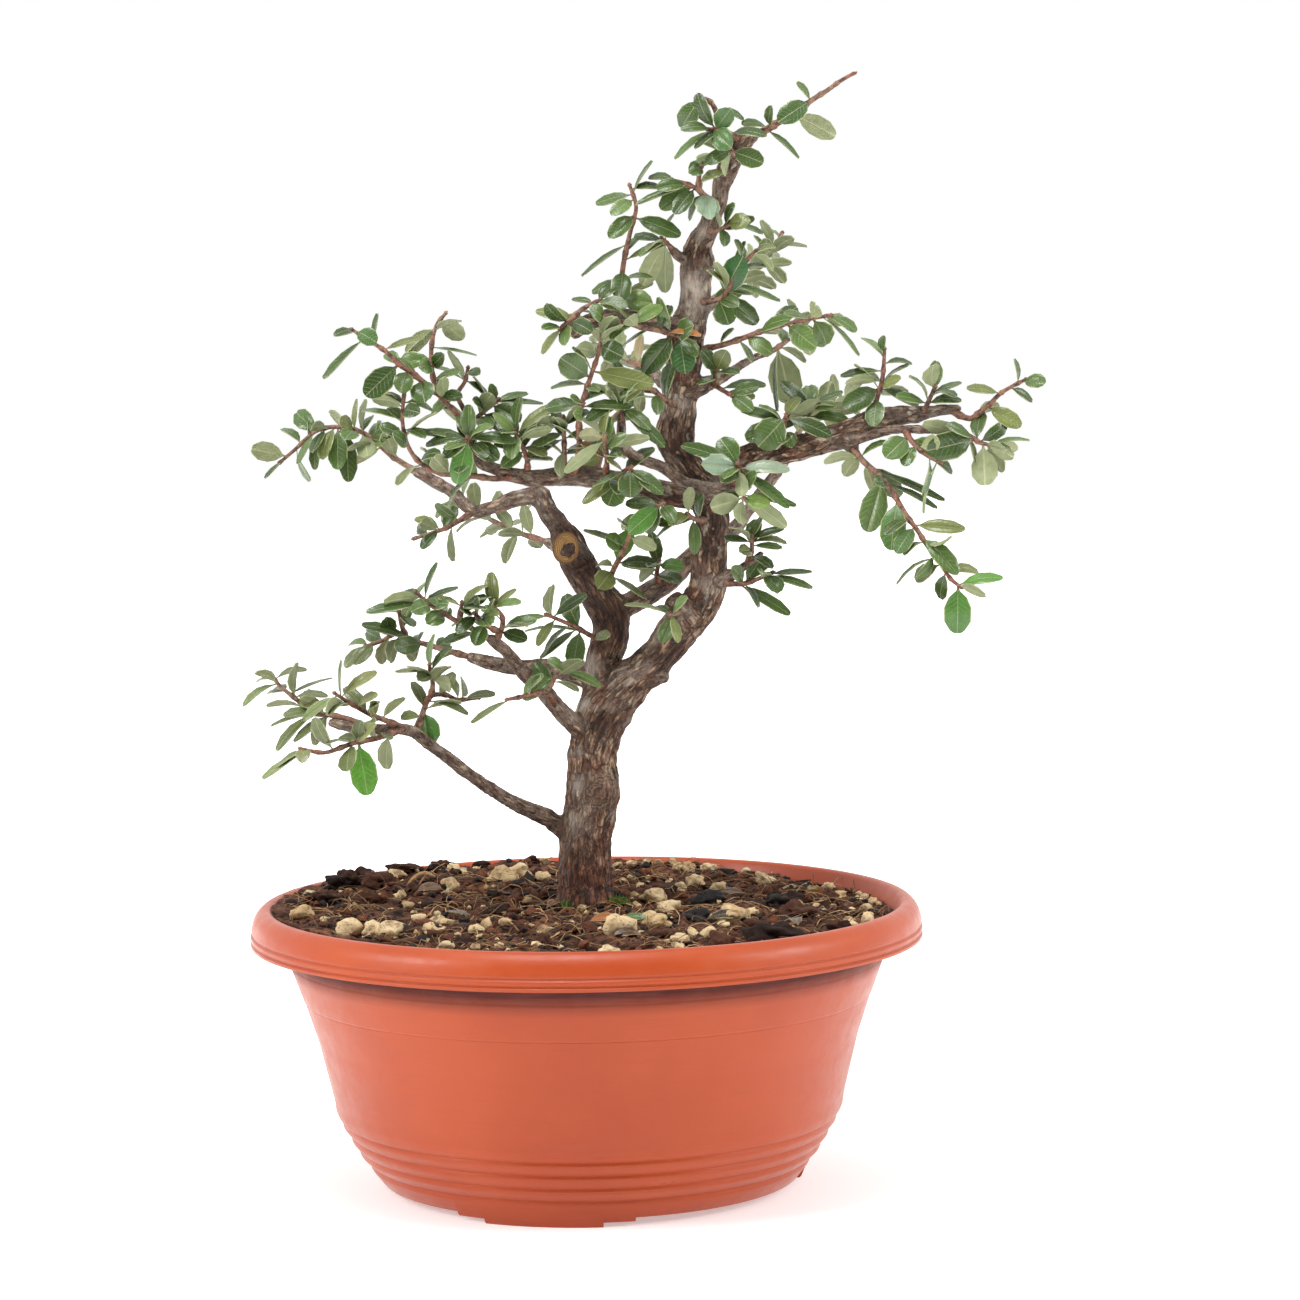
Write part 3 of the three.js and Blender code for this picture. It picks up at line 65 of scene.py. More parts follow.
MM = 0.001
BOWL_MIDDLE = Vector((-25, 0, 0))  # the bowl's axis, mm; every other place below is in mm as well
EYE = Vector((1.9, -1598.4, 352.2))  # where the photograph was taken from
EYE_PITCH = 0.0861  # how far the camera looks down, radians
EYE_ROLL = -0.0148
EYE_LENS = 111.39  # on a 36 mm wide sensor

# The wood, limb by limb: x and z as seen from the eye on the plane y = 0, depth behind it, radius
WOOD = {
    "trunk": [(-25.5, 74, 6, 11), (-25.5, 100, 6, 13.4), (-25.5, 112, 6, 12.2),
        (-25.3, 121, 6, 11), (-25.3, 130, 6, 10.5), (-25, 140, 6, 10.3), (-23, 150, 6, 10.7),
        (-21.8, 158, 6, 11), (-21.7, 170, 6, 10), (-20.3, 180, 6, 10.2), (-16.5, 190, 6, 11),
        (-9, 199, 5, 9.4), (0, 207, 4.5, 7.7), (6, 213, 4.5, 7.5), (13, 222, 4.5, 8),
        (20, 230, 4.5, 8), (25.5, 240, 4.5, 7.5), (25.8, 250, 4.5, 7.3), (27, 260, 4.5, 6.7),
        (27.5, 268, 3, 7), (25, 276, 3, 8), (19.5, 284, 1.5, 6.8), (14.5, 292, 1.5, 6.6),
        (13, 300, 1.5, 8), (15, 310, 1.5, 7), (15.8, 320, 1.5, 6.5), (17.3, 330, 0, 7.2),
        (18, 340, 0, 7.5), (21.7, 350, 0, 6.4), (22.2, 360, -1.5, 6.3), (23, 368, -1.5, 6.9),
        (24, 375, -1.5, 5.5), (27, 380, -3, 4.4), (29, 386, -3, 3.9), (31.8, 391, -4.5, 3.2),
        (33, 398, -4.5, 3.7), (35.5, 405, -4.5, 4.3), (38.5, 411, -6, 4.6), (42, 416.5, -7.5, 4.6),
        (46, 418.2, -7.5, 3.2)],
    "left_limb": [(-19, 188, 7.5, 8), (-17.5, 200, 9, 7.5), (-17.3, 210, 12, 7),
        (-13.5, 220, 13.5, 7.4), (-14.5, 230, 15, 7.8), (-21, 240, 16.5, 6.8), (-26, 249, 18, 7),
        (-30, 258, 18, 6.4), (-34, 265, 18, 4.4), (-38, 270, 19.5, 4.1), (-41, 277.5, 19.5, 4.2)],
    "left_limb_cut": [(-26, 251, 16.5, 6), (-30.5, 255.2, 9, 5.2)],
    "back_branch": [(-12, 229, 15, 5), (-4, 234, 19.5, 4.6), (2, 237, 22.5, 4.5),
        (10, 242, 25.5, 4.4), (17, 249, 28.5, 4.3), (27, 256, 31.5, 3.6), (36, 262, 33, 3),
        (43, 271, 33, 2.6), (50, 280, 33, 2.5), (56, 288, 36, 2.2), (60, 297, 42, 1.9)],
    "low_branch": [(-26, 139, 6, 5), (-36, 144, 4.5, 4), (-40, 147.5, 1.5, 3.6),
        (-50, 152, -3, 3.1), (-60, 157.5, -7.5, 2.8), (-70, 164.5, -12, 2.6),
        (-80, 172.5, -16.5, 2.5), (-88, 178.5, -19.5, 2.4), (-92, 182, -21, 2.4),
        (-97, 184, -21, 2.3), (-108, 184, -21, 2.2), (-118, 185, -19.5, 2.2), (-126, 187, -18, 2)],
    "middle_branch_front": [(-22, 180, 3, 5), (-28, 184.5, 0, 4), (-33, 189, -3, 3.6),
        (-38, 195, -6, 3.4), (-42, 200, -9, 3.3), (-48, 205, -13.5, 3), (-52, 210, -16.5, 2.8),
        (-57, 216, -21, 2.5), (-62, 220, -24, 2.3)],
    "middle_branch_back": [(-18, 200, 10.5, 5), (-24, 203.5, 12, 4.2), (-32, 206, 13.5, 3.7),
        (-40, 208, 15, 3.5), (-52, 208, 18, 3.2), (-60, 209.5, 19.5, 2.9),
        (-70, 212.5, 22.5, 2.4)],
    "left_branch": [(24, 275, 0, 5.5), (12, 276, -4.5, 5), (0, 279, -7.5, 4.6),
        (-10, 281.5, -9, 4.5), (-20, 283.5, -10.5, 4.4), (-30, 284, -12, 4),
        (-40, 283.5, -13.5, 3.6), (-50, 284.5, -15, 3.3), (-60, 288, -16.5, 2.6),
        (-66, 292, -18, 2.3), (-68, 303, -19.5, 2)],
    "left_branch_back": [(-41, 277, 19.5, 4), (-50, 275.5, 21, 3.5), (-60, 272, 22.5, 2.9),
        (-68, 271, 22.5, 2.7), (-75, 278, 25.5, 2.7), (-80, 281, 27, 2.6), (-90, 287, 30, 2.4)],
    "pale_stub": [(26, 277, -4, 3.5), (22, 279, -12, 2.8), (16, 281, -17, 2.6), (8, 287, -21, 2.5),
        (0, 290, -22.5, 2.4), (-6, 294, -24, 2.3), (-8, 299, -24, 2.2), (-8, 307, -24, 2)],
    "pale_stub_right": [(22, 279, -12, 2.7), (33, 278, -18, 2.5), (42, 279.5, -18, 2.4)],
    "right_limb": [(25, 279, 3, 6), (31, 282, 3, 6), (38, 287, 3, 6), (44, 291, 3, 5.7),
        (52, 292.3, 1.5, 5.4), (60, 293.5, 0, 5.3), (70, 296, -4.5, 5.3), (80, 299, -9, 5.3),
        (90, 303.5, -12, 4.6), (100, 306, -13.5, 4.3), (109, 306.5, -15, 3.3),
        (118, 308, -16.5, 2.3), (126, 308.5, -18, 1.8)],
    "right_limb_lower": [(80, 297, -10.5, 4), (86, 297, -16.5, 2.4), (92, 299, -19.5, 2.1),
        (100, 300.7, -21, 2), (110, 300.5, -22.5, 1.9), (120, 300, -24, 1.8),
        (128, 299, -25.5, 1.6)],
    "right_limb_knot": [(80, 298, -10, 3.5), (84, 292.5, -12.5, 2.8)],
    "right_branch_high": [(17, 316, 0, 5), (24, 319, 3, 3.8), (30, 321.3, 6, 2.7),
        (36, 324.7, 9, 2), (45, 330, 15, 1.6), (52, 332.5, 21, 1.5)],
    "crown_branch": [(17, 341, -1.5, 4.5), (10, 344, -7.5, 3.6), (0, 346, -12, 3.5),
        (-10, 347, -15, 3.4), (-20, 345, -18, 3.3), (-27, 341.5, -19.5, 3.8)],
    "right_spur": [(26, 241, 1.5, 4), (33, 243, -1.5, 3), (38, 246, -6, 2), (44, 250, -9, 1.6),
        (47, 252.5, -10.5, 1.5)],
    "hollow_cut": [(17, 227, -1, 6), (12.5, 232.5, -6.5, 4.3)],
    "old_knob": [(1, 203, 1.5, 4.5), (8, 203.5, 0, 2.6)],
    "crown_link": [(22, 367, -3, 3.5), (16, 370, -6, 2.3), (12, 374.5, -9, 1.5)],
    "rear_branch_left": [(14, 312, 3, 4.5), (10, 320, 21, 3.2), (2, 326, 42, 2.5)],
    "rear_branch_low": [(-20, 240, 18, 4), (-28, 250, 36, 2.9), (-38, 258, 57, 2.2)],
    "rear_branch_top": [(18, 342, 3, 4), (26, 350, 21, 2.7), (34, 356, 39, 2)],
}

# The leafy shoots. Each has how many leaves the rule adds, then its stems: a path (x, z, depth)
# and its leaves, each by the part of the way along, x and z of its tip, how far the tip leans
# back, its width, and how far it is turned from facing the eye, in degrees
SHOOTS = {
    "low_left_tip": (6, [
        ([(-112, 185, -19.5), (-118, 188, -18), (-126, 190, -16.5), (-134, 191, -13.5),
          (-139, 196, -12), (-146, 202, -9), (-148, 205, -7.5)],
         [(0.95, -161, 194, -4, 6, 70), (1, -135, 208.5, 4, 5, 70), (1, -155, 204, 7, 5, 75),
          (0.8, -125, 205, 6, 5, 70), (0.75, -127, 197.5, -8, 5.5, 60),
          (0.5, -148, 176, -6, 6, 60), (0.5, -150, 186, 5, 5, 75), (0.45, -145, 190, -9, 5, 60),
          (0.3, -141, 179.5, -5, 6, 50), (0.25, -133, 178, -4, 6, 150),
          (0.7, -131, 194, -9, 5.5, 20)])]),
    "low_left_front": (5, [
        ([(-97, 184, -22.5), (-108, 180.5, -30), (-116, 179, -36), (-122, 177, -40.5),
          (-129, 175, -45), (-137, 176.5, -49.5)],
         [(0.46, -112, 157.5, -4, 11, 0), (0.15, -104, 168, -7, 7, 150),
          (0.98, -138, 171, -10, 6, 20), (0.97, -154, 165, 2, 6, 75),
          (0.5, -128, 178.5, -10, 4.5, 80), (0.45, -114, 188, -8, 6, 20),
          (0.5, -108, 186, -10, 6, 40), (0.2, -103, 180, -9, 5, 60)])]),
    "low_left_upper": (5, [
        ([(-98, 185, -21), (-105, 188, -25.5), (-110, 190, -28.5), (-117, 194, -33),
          (-123, 198, -36)],
         [(0.95, -107, 207, -3, 6, 50), (1, -137, 188, -3, 6, 55), (0.9, -128, 191, -9, 7, 140),
          (0.75, -131, 194, -3, 5, 60), (0.3, -96, 196.5, 4, 6, 50), (0.4, -110, 195, -9, 6, 40),
          (0.7, -107, 198, -7, 5, 60)])]),
    "low_left_inner": (5, [
        ([(-92, 182, -19.5), (-89, 191, -13.5), (-86, 197, -9), (-80, 197.5, -4.5),
          (-75, 195.5, -1.5), (-68, 196, 3)],
         [(0.28, -87, 177, -4, 11, 0), (0.85, -60, 197.5, 2, 5, 60), (0.4, -71, 189.5, -4, 5, 60),
          (0.2, -98, 188, -7, 5.5, 50), (0.3, -93, 203, 7, 6, 40), (0.8, -79, 204, -6, 5, 60)]),
        ([(-86, 197, -9), (-85, 202, -10.5), (-86, 208, -12)],
         [(0.9, -100, 207, -3, 5, 70), (1, -84, 222, 4, 6.5, 60), (0.8, -91, 203.5, -9, 6, 30),
          (0.6, -78, 200.5, -9, 7, 150), (0.9, -77, 217, 5, 5, 60)])]),
    "middle_left_front": (5, [
        ([(-62, 220, -24), (-70, 224.5, -30), (-75, 227, -33), (-80, 230, -36), (-86, 234, -40.5),
          (-90, 238, -43.5)],
         [(0.95, -104, 235, -4, 7, 150), (0.9, -74, 240.5, 4, 5, 60), (1, -88, 242, 9, 5, 60),
          (0.85, -111, 231, -7, 6, 60), (0.75, -78, 234, -8, 6, 40), (0.8, -93, 231, -9, 7, 20),
          (0.6, -87, 226, -8, 7.5, 20), (0.95, -96, 239, 8, 5, 60), (0.6, -77, 229, 6, 6, 30)]),
        ([(-74, 226.5, -33), (-73, 233, -36)],
         [(1, -82, 236, -8, 5, 60), (1, -61, 236.5, 2, 5, 70), (0.9, -62, 241, 8, 6, 60),
          (0.8, -70, 229, -10, 5, 60)])]),
    "middle_left_centre": (5, [
        ([(-60, 218, -22.5), (-57, 224, -25.5), (-57, 229, -28.5), (-60, 232, -31.5)],
         [(1, -51, 239.5, 4, 5, 60), (1, -49, 234, -5, 5, 60), (0.8, -65, 231, -10, 5, 40),
          (0.4, -43, 227, 0, 6, 50), (0.3, -47, 219, -6, 6, 30)]),
        ([(-57.8, 222.4, -25), (-63, 225, -29), (-67, 229, -33)],
         [(1, -75, 222, -8, 6, 30), (0.9, -58, 229.5, -9, 5, 60), (0.6, -68, 217, -7, 7, 10),
          (0.8, -77, 225, 6, 5, 60), (1, -66, 236, -10, 5, 60)])]),
    "middle_left_back": (5, [
        ([(-70, 212.5, 22.5), (-80, 215.5, 25.5), (-88, 218, 28.5), (-95, 220, 31.5),
          (-100, 222, 33), (-106, 219, 34.5), (-110, 218, 34.5)],
         [(1, -120, 209, -3, 7, 50), (0.95, -116, 210, -7, 7.5, 30), (1, -118, 218, 8, 5, 60),
          (0.8, -103, 229, -9, 7.5, 10), (0.55, -113, 226, -8, 6, 60), (0.5, -90, 222, 9, 6, 40),
          (0.7, -102, 211, -8, 7.5, 140), (0.5, -93, 213, -7, 6.5, 140),
          (0.8, -105, 210, 6, 7, 130), (0.45, -100, 217, -10, 8, 10),
          (0.35, -78, 219, 8, 5.5, 30)]),
        ([(-95, 220, 31.5), (-97, 226, 30), (-98, 232, 28.5)],
         [(1, -94, 233.5, -9, 5, 50), (1, -102, 234, -8, 7, 150), (0.8, -92, 225, -8, 6, 60),
          (0.9, -111, 231, 6, 5.5, 60)])]),
    "middle_left_inner": (4, [
        ([(-36, 192, -6), (-40, 198, -18), (-46, 197, -25.5), (-51, 196, -30),
          (-54, 195.5, -31.5)],
         [(1, -70, 186, -3, 5, 70), (0.85, -41, 205.5, 6, 5.5, 60)]),
        ([(-40, 198, -18), (-36, 204, -13.5), (-33, 206, -12)],
         [(0.8, -49, 195, -6, 6.5, 20), (1, -18, 200, -3, 5, 50), (1, -39, 211, -8, 5, 50)])]),
    "fork_left": (4, [
        ([(-17, 219, 10.5), (-21, 220, 3), (-28, 224, -3), (-38, 228.5, -9)],
         [(0.5, -29, 207.5, -4, 8, 10), (0.95, -23, 237, 2, 6, 45), (1, -53, 225, -2, 6, 60),
          (0.9, -43, 216.5, -8, 5, 40), (0.55, -42, 211.5, -5, 5.5, 50),
          (0.45, -48, 222.5, 5, 5, 70)])]),
    "left_low": (4, [
        ([(-66, 271, 22.5), (-75, 266, 19.5), (-80, 263.5, 19.5), (-90, 260.5, 21)],
         [(0.6, -74.5, 272.5, 4, 7, 30), (0.62, -91, 268, 5, 5, 45),
          (0.65, -88.5, 256, -6, 5, 40)])]),
    "left_outer": (9, [
        ([(-88, 285.5, 29), (-95, 290, 31.5), (-100, 293.5, 33), (-106, 299, 36),
          (-112, 303, 37.5), (-122, 305, 39), (-130, 303, 39), (-137, 297, 39), (-143, 292, 39)],
         [(1, -150, 285, -8, 5, 70), (0.85, -143, 304.5, 8, 5.5, 60), (0.8, -133, 308.5, 9, 5, 60),
          (0.75, -137, 290.5, -8, 5.5, 60), (0.7, -130, 288, -6, 6, 50),
          (0.68, -131, 295, -12, 6.5, 50), (0.62, -127, 292, -9, 7, 40),
          (0.6, -121, 288, -7, 8.5, 10), (0.55, -117, 283, -4, 8, 20),
          (0.5, -118, 300, -12, 7.5, 15), (0.5, -113, 316, 6, 5, 60), (0.55, -124, 311, 9, 6, 130),
          (0.45, -109, 293, -9, 8.5, 170), (0.45, -107, 309, 9, 6, 50),
          (0.35, -102, 299, -12, 6, 30), (0.4, -96, 303, -14, 6.5, 30),
          (0.3, -115, 290, 6, 5, 140), (0.5, -120, 308, -10, 6.5, 40)])]),
    "left_lower_middle": (8, [
        ([(-50, 284.5, -15), (-58, 283.5, -21), (-66, 284.5, -25.5), (-80, 286, -28.5),
          (-88, 290, -30), (-93, 297, -30), (-95, 307, -30), (-94, 318, -28.5)],
         [(0.92, -107, 316, 4, 6.5, 140), (0.85, -111, 311.5, 6, 5, 60),
          (0.8, -86, 300, -6, 6, 50), (0.78, -81, 301, 5, 5.5, 60), (0.9, -88, 310, -9, 7, 20),
          (0.75, -104, 305, -7, 6, 50), (0.7, -99, 302, -9, 6.5, 30), (0.6, -80, 294, -7, 5, 60),
          (0.5, -88, 296, 8, 6, 60), (0.95, -83, 311, 7, 5.5, 60)])]),
    "left_top_outer": (6, [
        ([(-80, 317, -21), (-85, 321, -25.5), (-91, 326, -28.5), (-96, 329.5, -31.5),
          (-101, 334.5, -34.5), (-107, 338.5, -37.5), (-113, 342.5, -39)],
         [(1, -104.5, 338, -3, 7.5, 20), (0.9, -126, 324, -3, 5.5, 70),
          (1, -121.5, 341, -7, 5, 45), (0.7, -85.5, 340, 3, 5.5, 55),
          (0.5, -109.5, 317, -3, 10.5, 10), (0.4, -95.5, 318, -6, 8, 10),
          (0.25, -86, 314, -8, 10, 0), (0.3, -95.5, 332, 8, 5, 60)]),
        ([(-68, 303, -19.5), (-74, 310, -21), (-80, 317, -21), (-82.5, 324, -16.5),
          (-83, 335, -15), (-81, 344, -15), (-78, 348, -15)],
         [(0.9, -93, 333.5, 4, 6.5, 160), (0.95, -70, 339, 3, 8, 165),
          (0.75, -65, 332.5, -3, 5, 70), (0.65, -96, 329, 4, 7.5, 30), (0.6, -88, 328, -9, 7, 20),
          (0.6, -78, 333, -10, 6, 10), (0.5, -72, 326, -7, 5, 60), (0.45, -77, 322, 6, 5, 60),
          (0.35, -71, 316, -5, 5.5, 30)])]),
    "left_top_inner": (8, [
        ([(-67, 299, -18.5), (-68.5, 305, -11), (-70.5, 311, -10.5), (-73, 317, -10.5),
          (-70, 322, -9), (-69, 326, -9)],
         [(1, -64, 325, -9, 5, 50), (0.9, -60, 315, 3, 6, 60), (0.7, -83, 309, -6, 6.5, 45),
          (0.9, -87, 329, 4, 5, 70)]),
        ([(-68.5, 305, -11), (-64, 309, -10), (-58, 314, -7.5)],
         [(0.6, -67, 315, -8, 5.5, 60), (1, -39, 313, 2, 6, 60), (1, -45, 317, 6, 6, 60),
          (0.9, -60, 321, -9, 5, 30), (0.85, -48, 306, -5, 9, 20), (0.5, -51, 302, -9, 8, 20),
          (0.3, -60, 303, -11, 7.5, 30)])]),
    "left_middle": (8, [
        ([(-66, 292, -18), (-68, 297, -25.5), (-69, 299.5, -30)],
         [(1, -74, 281.5, -3, 9, 0), (1, -79, 292, -4, 7, 30), (1, -86, 297, 3, 6.5, 50),
          (0.9, -87, 303, 6, 6.5, 50), (1, -50, 298, 0, 6.5, 50), (0.8, -57, 291, -6, 8, 20),
          (0.9, -72, 309, 8, 7, 20), (0.7, -79, 296, 8, 5, 60)])]),
    "centre_left": (8, [
        ([(-46, 285, -13.5), (-46, 292, -19.5), (-50, 301, -24)],
         [(1, -62, 298, 3, 6, 60), (1, -52, 291, -8, 7.5, 20), (1, -34, 312, 5, 6, 50),
          (0.9, -36, 303, -4, 6, 150), (0.7, -38, 292, -6, 6, 60), (0.6, -56, 288, -9, 6, 20),
          (1, -48, 316, 6, 6.5, 60), (0.95, -59, 309, -8, 6, 40)])]),
    "centre_middle": (5, [
        ([(-31, 284.5, -12), (-31, 292, -16.5), (-31, 299, -19.5), (-31, 306, -21)],
         [(1, -42, 304, -6, 6.5, 150), (0.9, -21, 310, 4, 6, 50), (0.8, -42, 296, -6, 6, 50),
          (0.7, -44, 291, 3, 5.5, 60), (0.7, -18, 300, -2, 6, 50), (0.5, -33, 284, -11, 5, 160),
          (1, -39, 312, 8, 6, 60), (0.4, -22, 294, 7, 6, 60)])]),
    "centre_back": (6, [
        ([(-19, 283, -7.5), (-17, 290, 3), (-15, 297, 12), (-13, 305, 21), (-8, 310, 27)],
         [(0.35, -24, 288, -9, 8, 10), (1, 0, 318, 2, 7, 20), (0.9, -2, 307, -9, 6, 40),
          (0.8, -22, 305, 3, 5, 60), (1, 3, 302, -2, 5.5, 40)])]),
    "centre_tall": (4, [
        ([(-27, 284, -13.5), (-25, 296, -22.5), (-25, 306, -27), (-24, 312, -27), (-22, 318, -27),
          (-19.5, 325, -27), (-17, 332, -27), (-16, 337, -27), (-15, 345, -28.5)],
         [(0.66, -32, 331, -3, 11, 0), (0.86, -7, 331, -4, 9.5, 0), (0.7, 5, 320, -1, 8.5, 10),
          (0.62, -36, 319, 4, 5.5, 65), (0.5, -38, 311, 2, 7, 40), (0.48, -4, 311, 2, 6, 50),
          (0.6, -17, 317.5, -9, 5, 50), (0.5, -28, 315, -11, 5, 60), (0.8, -25, 335, 7, 7, 150),
          (0.9, -10, 347, -8, 7, 160), (1, -20, 351, -8, 7, 40), (0.42, -27, 309, -11, 6, 40)])]),
    "centre_front": (4, [
        ([(-10, 281, -12), (-8, 285, -22.5), (-5, 287, -30)],
         [(1, -5, 275, -3, 10, 0), (1, 8, 276.5, -4, 6.5, 20), (0.8, -20, 280, -2, 5, 60),
          (0.5, -14, 272, -4, 10.5, 10), (0.4, -24, 273, -8, 6, 30)])]),
    "centre_pale": (4, [
        ([(-15, 283, -10.5), (-14, 291, -24), (-15, 299, -33)],
         [(0.95, -31, 285.5, -3, 5.5, 160), (1, -25, 300, 5, 6, 140), (0.8, -6, 300, -6, 5.5, 30),
          (1, -13, 310, 6, 6, 50), (0.8, 3, 299, -5, 6.5, 140)])]),
    "stub_top": (5, [
        ([(-8, 303, -24), (-8, 309, -25.5), (-8, 312, -24)],
         [(0.9, 3.5, 302, -7, 6, 40), (1, -22, 306, -3, 6.5, 45), (1, 0, 320, 4, 6.5, 30),
          (0.7, 9, 295, -8, 6, 30)])]),
    "trunk_left": (4, [
        ([(14, 311, -3), (9, 314, -12), (4, 318, -18), (-3, 318.5, -21), (-8, 319, -22.5)],
         [(1, -14, 318, -8, 7, 150), (0.8, -8, 315, -9, 5, 70), (0.5, 6, 308, -8, 6, 30),
          (0.7, -1, 309, -3, 6, 150), (0.6, -2, 327, 4, 5, 60)])]),
    "red_fork": (3, [
        ([(-15, 239, 12), (-12, 247, 3), (-8, 254, -6), (-5, 261, -13.5), (0, 268, -19.5),
          (7, 272, -24)],
         [(1, -6, 261, -3, 8.5, 5), (1, 1, 261, 4, 7, 20), (1, 12.5, 265, -8, 6, 20),
          (1, -7, 273, 3, 7, 30), (0.85, -8.5, 262.5, 7, 6.5, 160), (0.6, 5, 254.5, 4, 6, 160),
          (0.2, -18.5, 239, -6, 9, 5), (0.3, 6, 248.5, 1, 7, 30), (0.45, -15, 260, -4, 7.5, 30),
          (0.5, -24, 262.5, 3, 6, 65), (0.15, 1, 234.5, -6, 5.5, 60),
          (0.25, -19, 248, 6, 5, 60)])]),
    "fork_back": (4, [
        ([(6, 240, 24), (5, 244, 16.5), (6, 249, 10.5)],
         [(0.7, -9, 248.5, -2, 6, 60), (0.8, -2, 242.5, -9, 6, 140), (0.9, 16, 247, -8, 6, 30)])]),
    "hollow_cut": (2, [
        ([(15, 230, -5), (12, 228.5, -14), (10, 228.5, -20)],
         [(1, -8, 232.5, -3, 5, 75), (0.8, 3, 231, 9, 5, 50), (0.9, 13, 217, -8, 5, 40)])]),
    "right_low": (3, [
        ([(30, 241, 0), (38, 240, -7.5), (44, 241.5, -12), (50, 244, -15)],
         [(1, 67, 244.5, 0, 6, 60), (0.95, 67, 238, -6, 6, 60), (0.95, 53, 236, -9, 8.5, 30),
          (0.4, 58, 227.5, -3, 6, 45), (0.6, 50, 249, 9, 6.5, 30), (0.5, 35, 247, -9, 6, 40)])]),
    "right_low_spur": (3, [
        ([(41, 248.5, -7.5), (43, 253, -13.5), (43, 258, -15)],
         [(1, 56, 262, 2, 5.5, 50), (0.8, 55, 254, -6, 5, 60), (0.9, 32, 258.5, -2, 5, 65),
          (0.6, 38, 253, -10, 6, 30), (0.9, 57, 256, 6, 5, 70), (1, 47, 267, 6, 6, 50)])]),
    "right_inner": (3, [
        ([(36, 279, -18), (39, 284, -25.5), (38, 287, -28.5)],
         [(1, 31, 298, 4, 9.5, 10), (1, 15.5, 295.5, -4, 6, 35), (1, 23.5, 288, -6, 9, 10),
          (0.9, 58.5, 285, -2, 7, 40), (0.8, 58, 270, -4, 6, 40), (0.9, 39.5, 275, -10, 5.5, 160),
          (0.7, 31, 281, -9, 5, 20), (0.8, 24, 294, 6, 5, 50)])]),
    "right_inner_low": (2, [
        ([(40, 279.3, -18), (40, 274.5, -28.5)],
         [(1, 50.5, 271.5, -3, 7, 20), (1, 27, 270.5, -4, 8.5, 170), (0.9, 57, 262.5, -1, 7, 160),
          (1, 39, 264, -7, 6.5, 150), (0.8, 61, 271, 4, 5, 60), (0.9, 48, 268, 8, 6, 160)])]),
    "stem_front": (2, [
        ([(25, 266, -2), (21, 266, -14), (18, 268, -20)],
         [(0.8, 20, 252, -3, 5.5, 20), (1, 10, 264, -9, 6, 30), (0.9, 5, 259, 3, 5, 60),
          (1, 19, 279, -5, 5, 160)])]),
    "limb_round": (3, [
        ([(53, 294, 0), (56, 301, -9), (57, 306, -13.5)],
         [(1, 46, 294.5, -4, 13, 0), (0.8, 41, 298, 3, 8, 20), (0.6, 59.5, 294, -6, 7, 20),
          (0.9, 39, 309.5, 2, 6, 50), (1, 75, 298.5, -4, 6.5, 30), (1, 62.5, 314, 6, 6, 40),
          (0.9, 71, 312.5, 4, 6, 150)])]),
    "limb_second": (4, [
        ([(67, 297, -3), (66, 304, -3), (67, 310, -3)],
         [(1, 55, 320, -4, 6.5, 25), (0.7, 82, 304.5, -3, 5.5, 40), (1, 77, 310, -9, 5.5, 40),
          (0.9, 87, 309, 5, 6, 140), (1, 80, 316, 3, 5, 60), (0.7, 57, 304, 8, 6, 60)])]),
    "limb_upright": (3, [
        ([(92, 304, -12), (93, 312, -13.5), (95, 318, -15), (96, 324, -15), (96.5, 331, -15)],
         [(0.5, 80, 309.5, -4, 9, 5), (0.6, 81, 319.5, -6, 6, 140), (0.35, 92, 302, -9, 8, 10),
          (0.5, 103, 321, -6, 6, 40), (0.75, 79, 322, -3, 5.5, 60), (0.85, 107.5, 326.5, 4, 5, 70),
          (1, 96.5, 338, -2, 4, 40), (0.5, 110, 310, 4, 6.5, 50), (0.4, 106, 315, 9, 6, 140),
          (0.6, 88, 323, 9, 5, 130)])]),
    "limb_third": (3, [
        ([(111, 305, -16), (113.5, 311, -18), (116, 316, -19.5)],
         [(1, 116, 326, -6, 8.5, 150), (0.5, 127, 311.5, -4, 6.5, 50), (0.5, 101, 314, -6, 6, 60),
          (0.8, 127, 319, 5, 5, 60)])]),
    "tip_twig": (0, [
        ([(123, 307.5, -18), (130, 304.5, -22.5), (134, 307, -24), (138, 310, -25.5),
          (142, 314, -27), (146, 316.5, -27), (151, 319, -27)],
         [(0.72, 129, 316.5, -3, 6, 55), (1, 160.5, 318.5, -6, 6.5, 30),
          (0.5, 150.5, 301, -3, 7, 20), (0.35, 142, 309.5, 7, 6, 140), (0.95, 148, 328, -4, 4, 60),
          (0.85, 155, 311, 5, 5, 50)])]),
    "tip_low": (3, [
        ([(126, 299.3, -25.5), (131, 297, -28.5), (134, 295, -30), (138, 294, -30)],
         [(0.55, 113, 292, -6, 11.5, 0), (0.8, 136, 278, -5, 10.5, 175),
          (0.9, 147.5, 289, -5, 7, 160), (0.9, 143, 283, 4, 6.5, 150), (1, 154, 295.5, 0, 5, 70),
          (1, 149, 292, 8, 6, 130), (0.3, 111.5, 303, -5, 7, 150), (0.5, 121, 302, -9, 6, 60),
          (0.6, 135, 307, 8, 7, 30)])]),
    "hanging": (3, [
        ([(83, 294, -13.5), (88, 288, -18), (95, 281.5, -24), (100, 274.5, -28.5), (105, 266, -33),
          (109, 260.5, -36), (113, 254, -39), (118, 247, -42), (122, 241, -45),
          (125, 238.5, -46.5)],
         [(0.15, 102.5, 274, 6, 8, 10), (0.12, 94, 273, 9, 7, 150), (0.3, 92, 280, -6, 6, 30),
